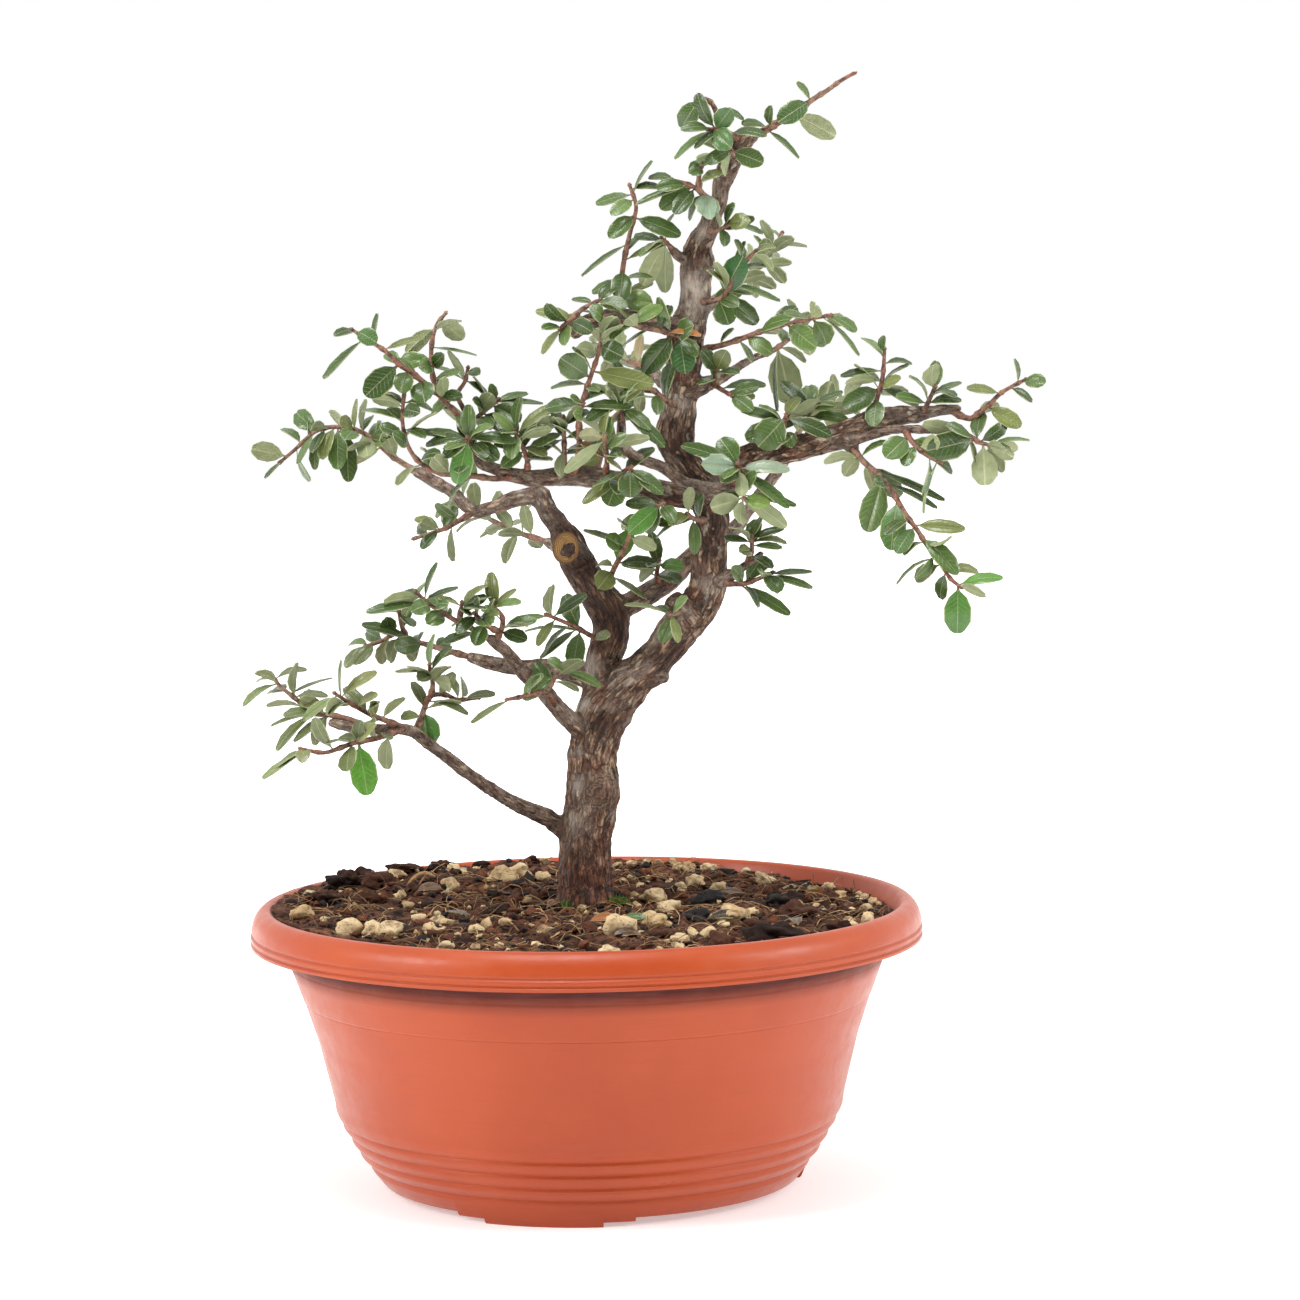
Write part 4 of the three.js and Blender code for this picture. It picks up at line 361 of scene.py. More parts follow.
          (0.27, 89, 260, -3, 11, 5), (0.42, 98.5, 252.5, -6, 10.5, 10),
          (0.55, 96, 259, -10, 5.5, 50), (0.6, 100.5, 251.5, -12, 7, 20),
          (0.59, 128, 260.5, -4, 7, 30), (0.67, 125, 242.5, -8, 8, 20),
          (0.7, 103.5, 250.5, -4, 5, 65), (0.8, 100.5, 239, -3, 5, 75),
          (0.85, 108, 240.5, 6, 6.5, 30), (0.9, 118, 233, 7, 6, 20), (1, 143, 241, -2, 6.5, 40),
          (1, 136, 234, -9, 5.5, 140), (1, 124.5, 219, -1, 11, 0), (0.9, 133, 243.5, 7, 5.5, 50),
          (0.3, 117, 269, -3, 5, 65), (0.18, 120, 272, -3, 5.5, 65), (0.03, 98, 296, -6, 5.5, 60),
          (0.08, 80, 282.5, 4, 6.5, 160), (0.06, 72, 288, -4, 5.5, 130)])]),
    "limb_under": (3, [
        ([(104, 301, -21), (107, 296, -27), (112, 291, -30), (117, 288, -30)],
         [(0.15, 96.5, 289.5, -6, 10, 10), (0.5, 104, 286, -3, 7, 30), (1, 111.5, 267, -3, 6, 110),
          (0.8, 123, 283, 5, 5.5, 50)])]),
    "right_middle_back": (5, [
        ([(48, 331, 16.5), (52, 332.5, 21), (56, 335, 25.5), (60, 338, 28.5), (63, 341, 31.5)],
         [(0.35, 59, 311.5, 0, 13.5, 175), (0.1, 54, 308.5, -6, 6, 80)])]),
    "right_middle_inner": (3, [
        ([(28, 320.5, 4.5), (31, 318, -4.5), (35, 315.5, -10.5)],
         [(0.8, 45, 314, -3, 6, 50), (1, 44, 309, -7, 6.5, 20), (0.6, 49.5, 319, 3, 5.5, 60)]),
        ([(30, 318.8, -2), (29.5, 322, -5), (30, 325, -6)],
         [(1, 24, 333, -7, 7, 20), (1, 34, 333, -6, 8, 10), (0.9, 39, 324, -7, 5, 60)])]),
    "right_middle_front": (3, [
        ([(22, 333, -1.5), (32, 335, -9), (40, 337.5, -12), (47, 340, -15), (54, 342, -18),
          (60, 343.5, -19.5), (68, 345, -22.5), (74, 346, -24)],
         [(0.4, 52, 331.5, -4, 7, 20), (0.71, 69.5, 333.5, -4, 9.5, 0),
          (0.9, 73.5, 334.5, 5, 10, 20), (0.83, 67, 330.5, 9, 8, 165),
          (0.97, 86.5, 330, -2, 5, 75), (1, 85.5, 339.5, -5, 6, 60), (1, 80, 342, 8, 6, 140),
          (0.88, 57, 347.5, -5, 5, 65), (0.5, 59.5, 345, -8, 6.5, 50),
          (0.48, 55, 339.5, 8, 5.5, 120), (0.2, 37, 341.5, -7, 4, 60)])]),
    "crown_right": (4, [
        ([(22, 352, -3), (31, 353, -10.5), (35, 357, -15), (38, 363, -15), (42, 368, -15),
          (45, 371, -15)],
         [(0.4, 41, 370, -5, 10.5, 0), (0.6, 55.5, 352, 2, 6, 60), (0.6, 42, 376, 5, 5, 75),
          (1, 53, 364.5, -3, 6, 130), (1, 54, 373.5, 2, 5, 70), (0.5, 30, 368, -10, 6, 140),
          (0.35, 39, 350.5, -9, 6, 30), (0.33, 35, 343, -3, 10, 10), (0.4, 46.5, 343.5, 2, 8, 20),
          (0.5, 45, 356, 8, 6, 40)])]),
    "crown_left": (4, [
        ([(-22, 344, -18), (-27, 346, -27), (-31, 343, -31.5)],
         [(1, -39, 332.5, -3, 6, 60), (1, -39, 342.5, -8, 5.5, 60), (0.7, -19, 341, -6, 7, 20),
          (0.8, -30, 336, -9, 6, 30)]),
        ([(-27, 346, -27), (-23, 350, -25.5), (-17, 353, -22.5)],
         [(1, -5, 351, -3, 7, 30), (1, -10, 359, 5, 6, 40), (0.9, -27, 354, 3, 5, 60)])]),
    "crown_front": (4, [
        ([(19, 338, -4.5), (14, 339.5, -16.5), (8, 341, -21), (0, 342.5, -24), (-6, 344.5, -24)],
         [(0.4, 1, 324.5, -3, 9.5, 0), (0.25, 17.5, 324, -5, 10.5, 0), (0.35, 21, 343, -9, 9, 20),
          (0.6, 12, 351, 6, 6.5, 50), (0.9, -12, 338, -6, 5, 60), (0.95, 9, 350.5, -3, 6.5, 40),
          (0.5, 24, 339, -4, 4, 50)])]),
    "crown_tall": (3, [
        ([(-8, 347, -15), (-7, 355, -10.5), (-7, 363, -12), (-5.5, 372, -12), (-3, 382, -12),
          (-1, 390, -12), (-3, 397, -12)],
         [(0.38, -8, 353, -9, 8.5, 0), (0.58, -23, 363, -3, 6, 65),
          (0.78, 16.5, 378.5, -2, 7.5, 15), (0.8, -12, 378, -8, 7, 10),
          (0.92, -11, 387, -8, 6, 20), (0.96, -17, 391.5, 3, 6, 50), (1, 10, 397, 2, 6, 55),
          (0.45, 12, 376, 3, 5, 60), (0.3, -19, 356.5, 5, 6, 60), (0.3, 5, 362, -6, 5, 60),
          (0.15, 5, 352, -9, 9, 10)])]),
    "crown_link": (3, [
        ([(17, 369, -4.5), (13, 373.5, -9), (10, 376.5, -10.5)],
         [(0.6, 1, 359, -3, 8, 165), (0.9, 0, 370.5, -8, 5.5, 50), (0.5, 10, 356, 4, 8, 160)])]),
    "upper_left": (4, [
        ([(31, 391, -4.5), (27, 393.5, -12), (24, 396, -13.5), (20, 398.5, -15), (15, 400, -15)],
         [(0.8, 7, 397, -4, 6.5, 40), (0.75, -1, 391, -3, 5.5, 65), (0.7, 8.5, 389, -2, 8.5, 20),
          (0.65, 14, 387, -9, 7, 20), (0.5, 28.5, 385, -7, 10, 15), (0.5, 20, 384.5, 7, 6, 60),
          (1, 4, 401.5, 5, 5, 60)]),
        ([(24, 396, -13.5), (24, 402, -13.5), (25, 405, -13.5)],
         [(1, 20, 403, -9, 6.5, 20), (0.3, 33.5, 402.5, -7, 6, 50)])]),
    "upper_right": (3, [
        ([(26, 380, -4.5), (32, 380.5, -10.5), (35, 382.5, -12)],
         [(1, 44, 384, -8, 7, 20), (0.8, 33.5, 374, -8, 5, 30), (0.9, 38, 391, -5, 5, 60)])]),
    "apex_left": (1, [
        ([(41, 415, -7.5), (36, 418.5, -15), (32, 420, -18), (29, 420, -19.5)],
         [(1, 17, 420, -6, 6, 45), (0.9, 37, 428, -8, 8, 5), (0.95, 37, 412.5, -8, 9, 0),
          (0.9, 14.5, 408.5, -2, 6, 60), (0.7, 22.5, 412.5, -8, 5, 50),
          (0.5, 51, 417, -6, 6, 50)]),
        ([(32, 420, -18), (31, 427, -18), (28, 431.5, -18), (25, 432, -18)],
         [(1, 17.5, 420.5, 4, 9, 20), (0.5, 42, 423.5, 4, 5, 60)])]),
    "apex_front": (1, [
        ([(38, 409, -6), (37, 411.5, -16.5)],
         [(1, 49.5, 406.5, -4, 8, 5), (1, 27, 406.5, -5, 6.5, 30), (0.8, 21, 406, 3, 5.5, 50),
          (0.9, 34, 402, -8, 5, 140)])]),
    "apex_right": (0, [
        ([(44, 417.5, -7.5), (50, 419, -9), (55, 422, -10.5), (60, 424.5, -12), (65, 428, -13.5),
          (70, 431.5, -15), (75, 434.5, -16.5), (80, 438, -18), (84.5, 440.5, -18)],
         [(0.6, 55.5, 422.5, -6, 9, 10), (0.42, 78, 416.5, -3, 8.5, 175),
          (0.6, 63, 438, -2, 4, 60), (0.18, 41, 422, -6, 5, 65), (0.2, 53, 429, -7, 5, 40),
          (0.12, 63.5, 408, -2, 6, 60)])]),
    "rear_left": (18, [
        ([(2, 326, 42), (-6, 330, 63), (-14, 336, 81), (-22, 344, 93)],
         [])]),
    "rear_low": (18, [
        ([(-38, 258, 57), (-50, 262, 75), (-62, 268, 90), (-74, 276, 99)],
         [])]),
    "rear_right": (18, [
        ([(57, 290, 37.5), (62, 300, 48), (72, 308, 69), (82, 314, 87)],
         [])]),
    "rear_top": (18, [
        ([(34, 356, 39), (42, 362, 57), (50, 368, 72), (56, 378, 81)],
         [])]),
}

# Stones on the soil: place from above, size across. Read from the photograph one by one.
STONES = [
    (-140, 24, 7.2), (-137, -25, 8.8), (-127, -38, 3.6), (-116, -66, 10.4), (-106, -66, 8.8),
    (-99, -72, 9.6), (-96, -61, 5.6), (-107, 77, 8.8), (-97, 88, 4.4), (-83, 96, 6.4),
    (-79, 80, 6.4), (-82, 43, 9.2), (-66, 58, 4), (-61, 69, 12), (-55, 79, 10.4), (-44, 74, 8.4),
    (-45, 114, 4.8), (-101, 20, 6), (-96, -7, 4.8), (-93, -22, 3.2), (-90, -41, 4.8),
    (-83, -46, 6.4), (-78, -56, 5.6), (-84, -69, 7.2), (-77, -100, 6.8), (-66, -71, 6),
    (-63, -52, 5.6), (-56, -52, 4.8), (-40, -59, 5.6), (-42, -105, 4), (-65, -106, 4),
    (-27, -7, 3.6), (-123, 62, 7.2), (-49, 10, 4.8), (-13, 113, 4.8), (-7, 109, 4.4),
    (-1, 107, 4.8), (4, 105, 4), (10, 109, 5.6), (17, 104, 5.6), (13, 97, 4.8), (17, 89, 4.8),
    (25, 101, 6.4), (19, 58, 7.6), (13, 33, 6.4), (2, 13, 10.4), (-6, -3, 5.2), (-6, 20, 4),
    (8, -8, 9.2), (0, -33, 6.4), (3, -51, 8.8), (-9, -39, 5.6), (-11, -72, 11.2), (-15, -110, 8.8),
    (12, -94, 6.4), (17, -64, 5.2), (23, -71, 6.4), (33, -32, 12), (29, -41, 6.4), (41, -15, 4.8),
    (29, 45, 6.4), (48, 66, 9.6), (41, 90, 4), (59, 47, 4.8), (74, 46, 5.2), (78, 33, 5.6),
    (86, 22, 4), (86, -6, 5.2), (78, -31, 4.4), (79, -43, 4.8), (90, 2, 4.8), (86, -30, 5.6),
    (81, -7, 4), (67, 31, 5.6), (4, -107, 3.2), (11, -106, 4.8),
]
# Lumps of peat and pieces of black bark on the soil: place, size, 0 for peat and 1 for black bark
LUMPS = [
    (24, 11, 13, 1), (18, -32, 14, 1), (51, 9, 12, 1), (62, 54, 10, 1), (-2, 104, 6, 1),
    (60, -25, 18, 0), (48, -77, 20, 0), (-4, -105, 12, 0), (27, -92, 16, 0), (-124, 52, 12, 0),
    (-90, 92, 7, 0), (-130, 0, 11, 0), (-114, 10, 10, 0), (-92, -90, 9, 0), (-62, 20, 9, 0),
    (-128, 46, 12, 0), (-118, 66, 11, 0), (-104, 88, 11, 0), (-88, 100, 10, 0), (-70, 108, 9, 0),
    (-50, 112, 8, 0), (-34, 114, 7, 1), (-112, 40, 12, 0), (-96, 30, 10, 0), (-70, -90, 11, 0),
    (-40, -100, 12, 0), (60, 20, 12, 0), (40, -60, 13, 0), (74, -52, 11, 0), (-60, -20, 10, 0),
]
# Fallen leaves on the soil: place of the stalk from above, length, heading in degrees, colour
FALLEN_LEAVES = [
    (-24, -55, 13, 20, "#9A5A30"), (-13, -41, 12, -10, "#4E6E3A"), (-41, -13, 10, 60, "#6B4230"),
    (-70, -32, 11, 150, "#4E3426"), (22, -38, 14, 5, "#3A2A22"), (40, 28, 11, 170, "#5A3A2A"),
    (-95, 20, 12, 30, "#6E4A32"), (-2, -74, 12, 200, "#503426"), (58, -52, 12, 100, "#4A3022"),
]
# Leaves that stand out: x and z of the tip, reach round it, colour; the pale grey-green ones,
# #7F937C and #8C9D86, are a painted reflection on their glossy upper side
BRIGHT_LEAVES = [
    (-112, 157.5, 2, "#5A9034"), (-74, 281.5, 3, "#54803A"), (-6, 261, 4, "#5A8A3C"),
    (17.5, 324, 3, "#426636"), (41, 370, 3, "#3A6434"), (37, 428, 3, "#4E713C"),
    (37, 412.5, 3, "#52753E"), (50.5, 271.5, 3, "#7E9A48"), (100.5, 251.5, 3, "#52733C"),
    (143, 241, 3, "#5E8E3C"), (124.5, 219, 3, "#54803A"), (-104.5, 338, 3, "#4E6E3A"),
    (16, 247, 3, "#5E8A3A"), (7, 350.5, 3, "#66803F"), (0.2, 341.5, 3, "#B5713A"),
    (-25, 300, 3, "#8A6A45"), (-115, 290, 3, "#7A5A3C"), (24, 339, 3, "#B4743C"),
    (28.5, 385, 3, "#7F937C"), (23.5, 288, 3, "#7F937C"), (58.5, 285, 3, "#8C9D86"),
    (-87, 177, 3, "#4E7A34"), (78, 416.5, 3, "#4A5832"), (55.5, 422.5, 3, "#4A6434"),
]
# Overgrown knots in the bark: x, z, depth, size, how far they stand out
KNOTS = [(-18, 157.5, -5, 6.5, 2.6), (-25, 149, -3, 5, 1.1), (-12, 205, -2, 6, 1.2),
         (18, 238, -3, 6, 1.5), (22, 296, -4, 5, 1.2), (-21, 176, -3, 5, 1.2)]
# Patches of the bark: x, z, depth, size, and 1 where it is worn smooth and grey, -1 where dark
PATCHES = [
    (-29, 145, -4, 7, 1), (-28, 160, -4, 5, 1), (-23, 209, 4, 8, 1), (-25, 192, 0, 5, 1),
    (2, 222, -2, 9, 1), (-8, 237, 10, 6, 1), (21, 359, -6, 9, 1), (22, 350, -6, 8, 1),
    (15, 312, -6, 6, 1), (13, 286, -6, 4, 1), (25, 379, -7, 5, 1), (-15, 224, 6, 11, -1),
    (-18, 238, 10, 13, -1), (-28, 256, 12, 14, -1), (-36, 268, 18, 10, -1), (-16, 184, -3, 7, -1),
    (18, 296, -5, 10, -1), (27, 262, -3, 11, -1), (20, 268, 2, 9, -1), (12, 212, 0, 9, -1),
    (22, 336, -6, 5, -1), (36, 409, -8, 9, -1),
]
# Radius of a shoot's stem at its foot where it isn't the usual one, mm
THICK_SHOOTS = {"apex_right": 1.7, "right_middle_front": 1.25}


def linear(code):
    """An sRGB hex colour as the linear red, green, blue and alpha that Blender works in."""
    parts = [int(code[i:i + 2], 16) / 255 for i in (1, 3, 5)]
    return *(c / 12.92 if c <= 0.04045 else ((c + 0.055) / 1.055) ** 2.4 for c in parts), 1.0


def colour(label, code, text):
    """A colour that the user can change in the panel."""
    return FloatVectorProperty(name=label, description=text, subtype="COLOR", size=4, min=0, max=1,
                               default=linear(code))


def length(label, size, text):
    """A size that the user can change in the panel, given in mm."""
    return FloatProperty(name=label, description=text, unit="LENGTH", default=size * MM, min=0)


def count(label, number, text, least=0):
    """A number of things that the user can change in the panel."""
    return IntProperty(name=label, description=text, default=number, min=least)


class BowlSettings(bpy.types.PropertyGroup):
    steps: count("Steps", 160, "Faces round the bowl", 24)
    groove: length("Groove depth", 0.75, "Depth of the four turned grooves above the foot")
    edge: length("Edge rounding", 0.5, "Rounding of the moulded edges")
    plastic: colour("Plastic", "#A54017", "Terracotta colour of the plastic")
    plastic_light: colour("Light plastic", "#AD471C", "Where the pigment lies thinner")
    plastic_dark: colour("Dark plastic", "#933919", "Where the pigment lies thicker")


class SoilSettings(bpy.types.PropertyGroup):
    level: length("Level", 110.6, "Mean height of the soil over the table")
    heap: length("Heap", 3.4, "How much higher the soil lies on the left than in the middle")
    crumb: length("Crumb height", 2.5, "Height of the crumbs of peat")
    fibres: count("Fibres", 900, "Loose fibres and twigs on the soil")
    crumbs: count("Crumbs", 1300, "Loose crumbs of peat and bark")
    gravel: count("Small stones", 210, "Small stones between the large")
    peat: colour("Peat", "#573526", "Moist peat")
    peat_dark: colour("Dark peat", "#150A06", "Hollows and wet crumbs")
    peat_light: colour("Dry peat", "#8E5E44", "Crumbs that have dried")
    stone: colour("Pumice", "#CBB086", "Dry pumice")


class TreeSettings(bpy.types.PropertyGroup):
    voxel: length("Bark mesh", 0.95, "Cell of the mesh that joins the limbs into one trunk")
    furrow: length("Furrow depth", 0.8, "Depth of the bark's furrows on the trunk")
    leaf_thickness: length("Leaf thickness", 0.38, "Thickness of a leaf")
    leaf_arch: length("Leaf arch", 1.0, "How far the middle of a leaf rises over its ends")
    bark_dark: colour("Bark furrows", "#22130D", "Furrows of the bark")
    bark: colour("Bark", "#A07C63", "Plates of the bark")
    bark_grey: colour("Grey bark", "#C2B5A8", "Weathered patches of the bark")
    young_bark: colour("Young bark", "#84503C", "Skin of this year's shoots")
    wood: colour("Cut wood", "#A5824F", "The wood of the pruning cut")


class StageSettings(bpy.types.PropertyGroup):
    lens: FloatProperty(name="Lens", description="Focal length in mm", default=EYE_LENS)
    floor: colour("Floor", "#EEEDED", "Paper under the bowl")
    background: colour("Background", "#FFFFFF", "Paper behind the tree")
    room: FloatProperty(name="Room", description="Light in front of the tree", default=0.12)


class BonsaiSettings(bpy.types.PropertyGroup):
    bowl: PointerProperty(type=BowlSettings)
    soil: PointerProperty(type=SoilSettings)
    tree: PointerProperty(type=TreeSettings)
    stage: PointerProperty(type=StageSettings)


# Places along the wood

def seen(x, z, depth):
    """A point read from the photograph, carried along its line of sight to the given depth."""
    return EYE.lerp(Vector((x, 0, z)), 1 + depth / -EYE.y)


def limb_points(points):
    """Place and radius of each point of a limb."""
    return [(seen(x, z, depth), radius) for x, z, depth, radius in points]


def finer(line, cuts):
    """The same line with a smooth curve through its points, each span cut into that many."""
    spans = list(zip([line[0], *line], line, line[1:], [*line[2:], line[-1]]))
    made = []
    for (a, _), (b, rb), (c, rc), (d, _) in spans:
        for k in range(cuts):
            t = k / cuts
            bend = (c - a) * t + (2 * a - 5 * b + 4 * c - d) * t**2
            bend += (3 * b - a - 3 * c + d) * t**3
            made.append((b + bend / 2, rb + (rc - rb) * t * t * (3 - 2 * t)))
    return made + [line[-1]]


def turned_along(places):
    """For each place of a line, its forward, side and over directions, without twist."""
    frames = []
    side = None
    for k, place in enumerate(places):
        forward = (places[min(k + 1, len(places) - 1)] - places[max(k - 1, 0)]).normalized()
        if side is None:
            side = forward.orthogonal().normalized()
        side = (side - forward * side.dot(forward)).normalized()
        frames.append((forward, side, forward.cross(side)))
    return frames


def tube(bm, line, sides, blunt=0.55):
    """A closed round bar along a line of places and radii: a grid rolled up. Its vertices."""
    places = [place for place, _ in line]
    frames = turned_along(places)
    first, last = line[0][1], line[-1][1]
    rings = [(0, -first * blunt, 0), (0, -first * blunt * 0.7, 0.7)]
    rings += [(k, 0, 1) for k in range(len(line))]
    rings += [(len(line) - 1, last * blunt * 0.7, 0.7), (len(line) - 1, last * blunt, 0)]
    made = bmesh.ops.create_grid(bm, x_segments=sides, y_segments=len(rings) - 1, size=1)["verts"]
    for vert in made:
        turn = (vert.co.x + 1) * math.pi
        at, ahead, share = rings[round((vert.co.y + 1) / 2 * (len(rings) - 1))]
        forward, side, over = frames[at]
        out = side * math.cos(turn) + over * math.sin(turn)
        vert.co = places[at] + forward * ahead + out * (line[at][1] * share)
    bmesh.ops.remove_doubles(bm, verts=made, dist=1e-5)
    return [vert for vert in made if vert.is_valid]


# Finished pieces

def placed(bm, name, materials=()):
    """An object with the mesh of this bmesh, at the origin."""
    mesh = bpy.data.meshes.new(name)
    bm.to_mesh(mesh)
    bm.free()
    for material in materials:
        mesh.materials.append(material)
    obj = bpy.data.objects.new(name, mesh)
    bpy.context.scene.collection.objects.link(obj)
    return obj


def piece(bm, name, materials, nodes=(), sharp=40):
    """Turns a bmesh in mm into a finished piece of the object, which rides on its one body."""
    bmesh.ops.scale(bm, vec=(MM, MM, MM), verts=bm.verts)
    obj = placed(bm, name, materials)
    obj.data.shade_smooth()
    obj.data.set_sharp_from_angle(angle=math.radians(sharp))
    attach(obj, "root")
    if nodes:
        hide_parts(*nodes)


def taken_back(obj, helpers=()):
    """The bmesh of a helper with its modifiers applied; the helpers are removed."""
    graph = bpy.context.evaluated_depsgraph_get()
    mesh = bpy.data.meshes.new_from_object(obj.evaluated_get(graph))
    bm = bmesh.new()
    bm.from_mesh(mesh)
    for old in [obj, *helpers]:
        bpy.data.objects.remove(old)
    return bm


# Materials

def per(size):
    """Pattern scale for a detail of that many mm."""
    return 1 / (size * MM)


def given(tree, node, inputs):
    """Links or sets the inputs of a node."""
    for key, value in inputs.items():
        if isinstance(value, bpy.types.NodeSocket):
            tree.links.new(value, node.inputs[key])
        else:
            node.inputs[key].default_value = value


def add(tree, kind, inputs=None, stops=(), **settings):
    """Adds a node, sets it up and links or sets its inputs; its outputs."""
    node = tree.nodes.new("ShaderNode" + kind)
    for name, value in settings.items():
        setattr(node, name, value)
    given(tree, node, inputs or {})
    for k, (place, shade) in enumerate(stops):
        ramp = node.color_ramp.elements
        stop = ramp[k] if k < len(ramp) else ramp.new(place)
        stop.position = place
        stop.color = shade
    return node.outputs


def started(name):
    """A new material, its tree, its shader and the coordinates of the piece."""
    material = bpy.data.materials.new(name)
    material.use_nodes = True
    tree = material.node_tree
    where = add(tree, "TexCoord")["Object"]
    return material, tree, tree.nodes["Principled BSDF"], where


def speckle(tree, where, size, detail=3.0, rough=0.55, low=0.35, high=0.65):
    """Cloudy noise of that many mm, from 0 to 1 between low and high."""
    cloud = add(tree, "TexNoise", {"Vector": where, "Scale": per(size), "Detail": detail,
                                   "Roughness": rough})["Fac"]
    return add(tree, "MapRange", {0: cloud, 1: low, 2: high})[0]


def coated(tree, ground, *coats):
    """The ground under coats in turn: each a colour, its share, and what multiplies that share.
    A colour is an sRGB hex, a setting or a socket."""
    for coat, share, *others in coats:
        for other in others:
            share = add(tree, "Math", {0: share, 1: other}, operation="MULTIPLY")[0]
        under, over = (linear(c) if isinstance(c, str) else c for c in (ground, coat))
        ground = add(tree, "Mix", {0: share, 6: under, 7: over}, data_type="RGBA")[2]
    return ground


def surfaced(tree, shader, inputs, *layers):
    """Gives the shader its inputs and a relief of layers: each its height, the mm and strength."""
    given(tree, shader, inputs)
    under = {}
    for height, size, strength in layers:
        under |= {"Height": height, "Strength": strength, "Distance": size * MM}
        under = {"Normal": add(tree, "Bump", under)["Normal"]}
    given(tree, shader, under)


def moulded_polypropylene(bowl):
    """Injection moulded polypropylene: satin, a little waxy, with faint flow marks and scuffs, and
    a painted shadow under its lip.
    """
    material, tree, shader, where = started("moulded_polypropylene")
    flow = add(tree, "Mapping", {"Vector": where, "Scale": (1, 1, 22)})[0]
    height = add(tree, "SeparateXYZ", {0: where})["Z"]
    off = add(tree, "VectorMath", {0: where, 1: tuple(BOWL_MIDDLE * MM)}, operation="SUBTRACT")[0]
    off = add(tree, "VectorMath", {0: off, 1: (1, 1, 0)}, operation="MULTIPLY")[0]
    out = add(tree, "VectorMath", {0: off}, operation="LENGTH")["Value"]
    # Painted shade: the dark band under the lip stands for the lip's shadow; it starts on the
    # belly and ends in the lip and short of its edge
    painted_lip_shade = add(tree, "MapRange", {0: speckle(tree, flow, 16, 4), 3: 0.88, 4: 1.0})[0]
    for measure, none, full in ((height, 0.087, 0.0955), (out, 0.1262, 0.1255),
                                (height, 0.108, 0.1065)):
        share = add(tree, "MapRange", {0: measure, 1: none, 2: full})[0]
        painted_lip_shade = add(tree, "Math", {0: painted_lip_shade, 1: share}, operation="MULTIPLY")[0]
    specks = add(tree, "TexVoronoi", {"Vector": where, "Scale": per(11)})["Distance"]
    dirt = add(tree, "MapRange", {0: specks, 1: 0.055, 2: 0.02})[0]
    shade = coated(tree, bowl.plastic,
                   (bowl.plastic_light, speckle(tree, where, 55)),
                   (bowl.plastic_dark, speckle(tree, flow, 24, 2, 0.5, 0.5, 0.8), 0.14),
                   # the painted shadow under the lip
                   ("#440E05", painted_lip_shade),
                   ("#5E3324", dirt, speckle(tree, where, 38, 2, 0.5, 0.52, 0.62)))
    gloss = add(tree, "MapRange", {0: speckle(tree, where, 7, 4), 3: 0.32, 4: 0.44})[0]
    # the band of painted shade under the lip is rougher as well
    gloss = add(tree, "Math", {0: painted_lip_shade, 1: 0.4, 2: gloss}, operation="MULTIPLY_ADD")[0]
    surfaced(tree, shader, {
        "Base Color": shade, "Roughness": gloss, "IOR": 1.49, "Specular IOR Level": 0.4,
        "Sheen Weight": 0.2, "Sheen Roughness": 0.35,  # the dusty, scuffed skin pales at its edges
        "Subsurface Weight": 0.04, "Subsurface Radius": (0.004, 0.0016, 0.0008),
    }, (speckle(tree, where, 0.8, 2, 0.6, 0, 1), 0.09, 0.6),  # spark-eroded grain, drawn coarser
       (speckle(tree, flow, 18, 2, 0.5, 0, 1), 0.08, 0.3))
    return material


def moist_peat(soil):
    """Potting peat: matt and fibrous, near black where moist, brown where it has dried."""
    material, tree, shader, where = started("moist_peat")
    crumbs = speckle(tree, where, 2.6, 5, 0.62, 0.36, 0.64)
    combed = add(tree, "Mapping", {"Vector": where, "Rotation": (0, 0, 0.7),
                                   "Scale": (1, 7, 3)})[0]
    fibre = speckle(tree, combed, 5, 3, 0.6, 0.6, 0.72)
    shade = coated(tree, soil.peat_dark, (soil.peat, crumbs),
                   (soil.peat_light, speckle(tree, where, 16, 3, 0.5, 0.42, 0.68), crumbs),
                   ("#6E4A33", fibre))
    surfaced(tree, shader, {"Base Color": shade, "Roughness": 0.92, "Specular IOR Level": 0.25},
             (speckle(tree, where, 1.1, 4, 0.65, 0.2, 0.8), 0.8, 0.8), (fibre, 0.4, 0.6))
    return material


def dry_pumice(soil):
    """Pumice gravel: pale, matt, full of small pits, dusty with peat in its hollows."""
    material, tree, shader, where = started("dry_pumice")
    cloud = speckle(tree, where, 3.2, 4, 0.6)
    pits = add(tree, "TexVoronoi", {"Vector": where, "Scale": per(1.3)})["Distance"]
    hollow = add(tree, "MapRange", {0: pits, 1: 0.34, 2: 0.08})[0]
    spread = speckle(tree, where, 2.4, 3, 0.6, 0.45, 0.6)
    hollow = add(tree, "Math", {0: hollow, 1: spread}, operation="MULTIPLY")[0]
    shade = coated(tree, soil.stone,
                   ("#A27E4A", add(tree, "Attribute", attribute_name="tone")["Fac"]),
                   ("#DFCDA9", cloud, 0.55), ("#7A5B38", hollow),
                   ("#6B4E35", speckle(tree, where, 4.5, 5, 0.7, 0.5, 0.68)))
    sunk = add(tree, "Math", {0: 1.0, 1: hollow}, operation="SUBTRACT")[0]
    surfaced(tree, shader, {"Base Color": shade, "Roughness": 0.9, "Specular IOR Level": 0.3},
             (cloud, 0.5, 0.7), (sunk, 0.5, 0.8))
    return material


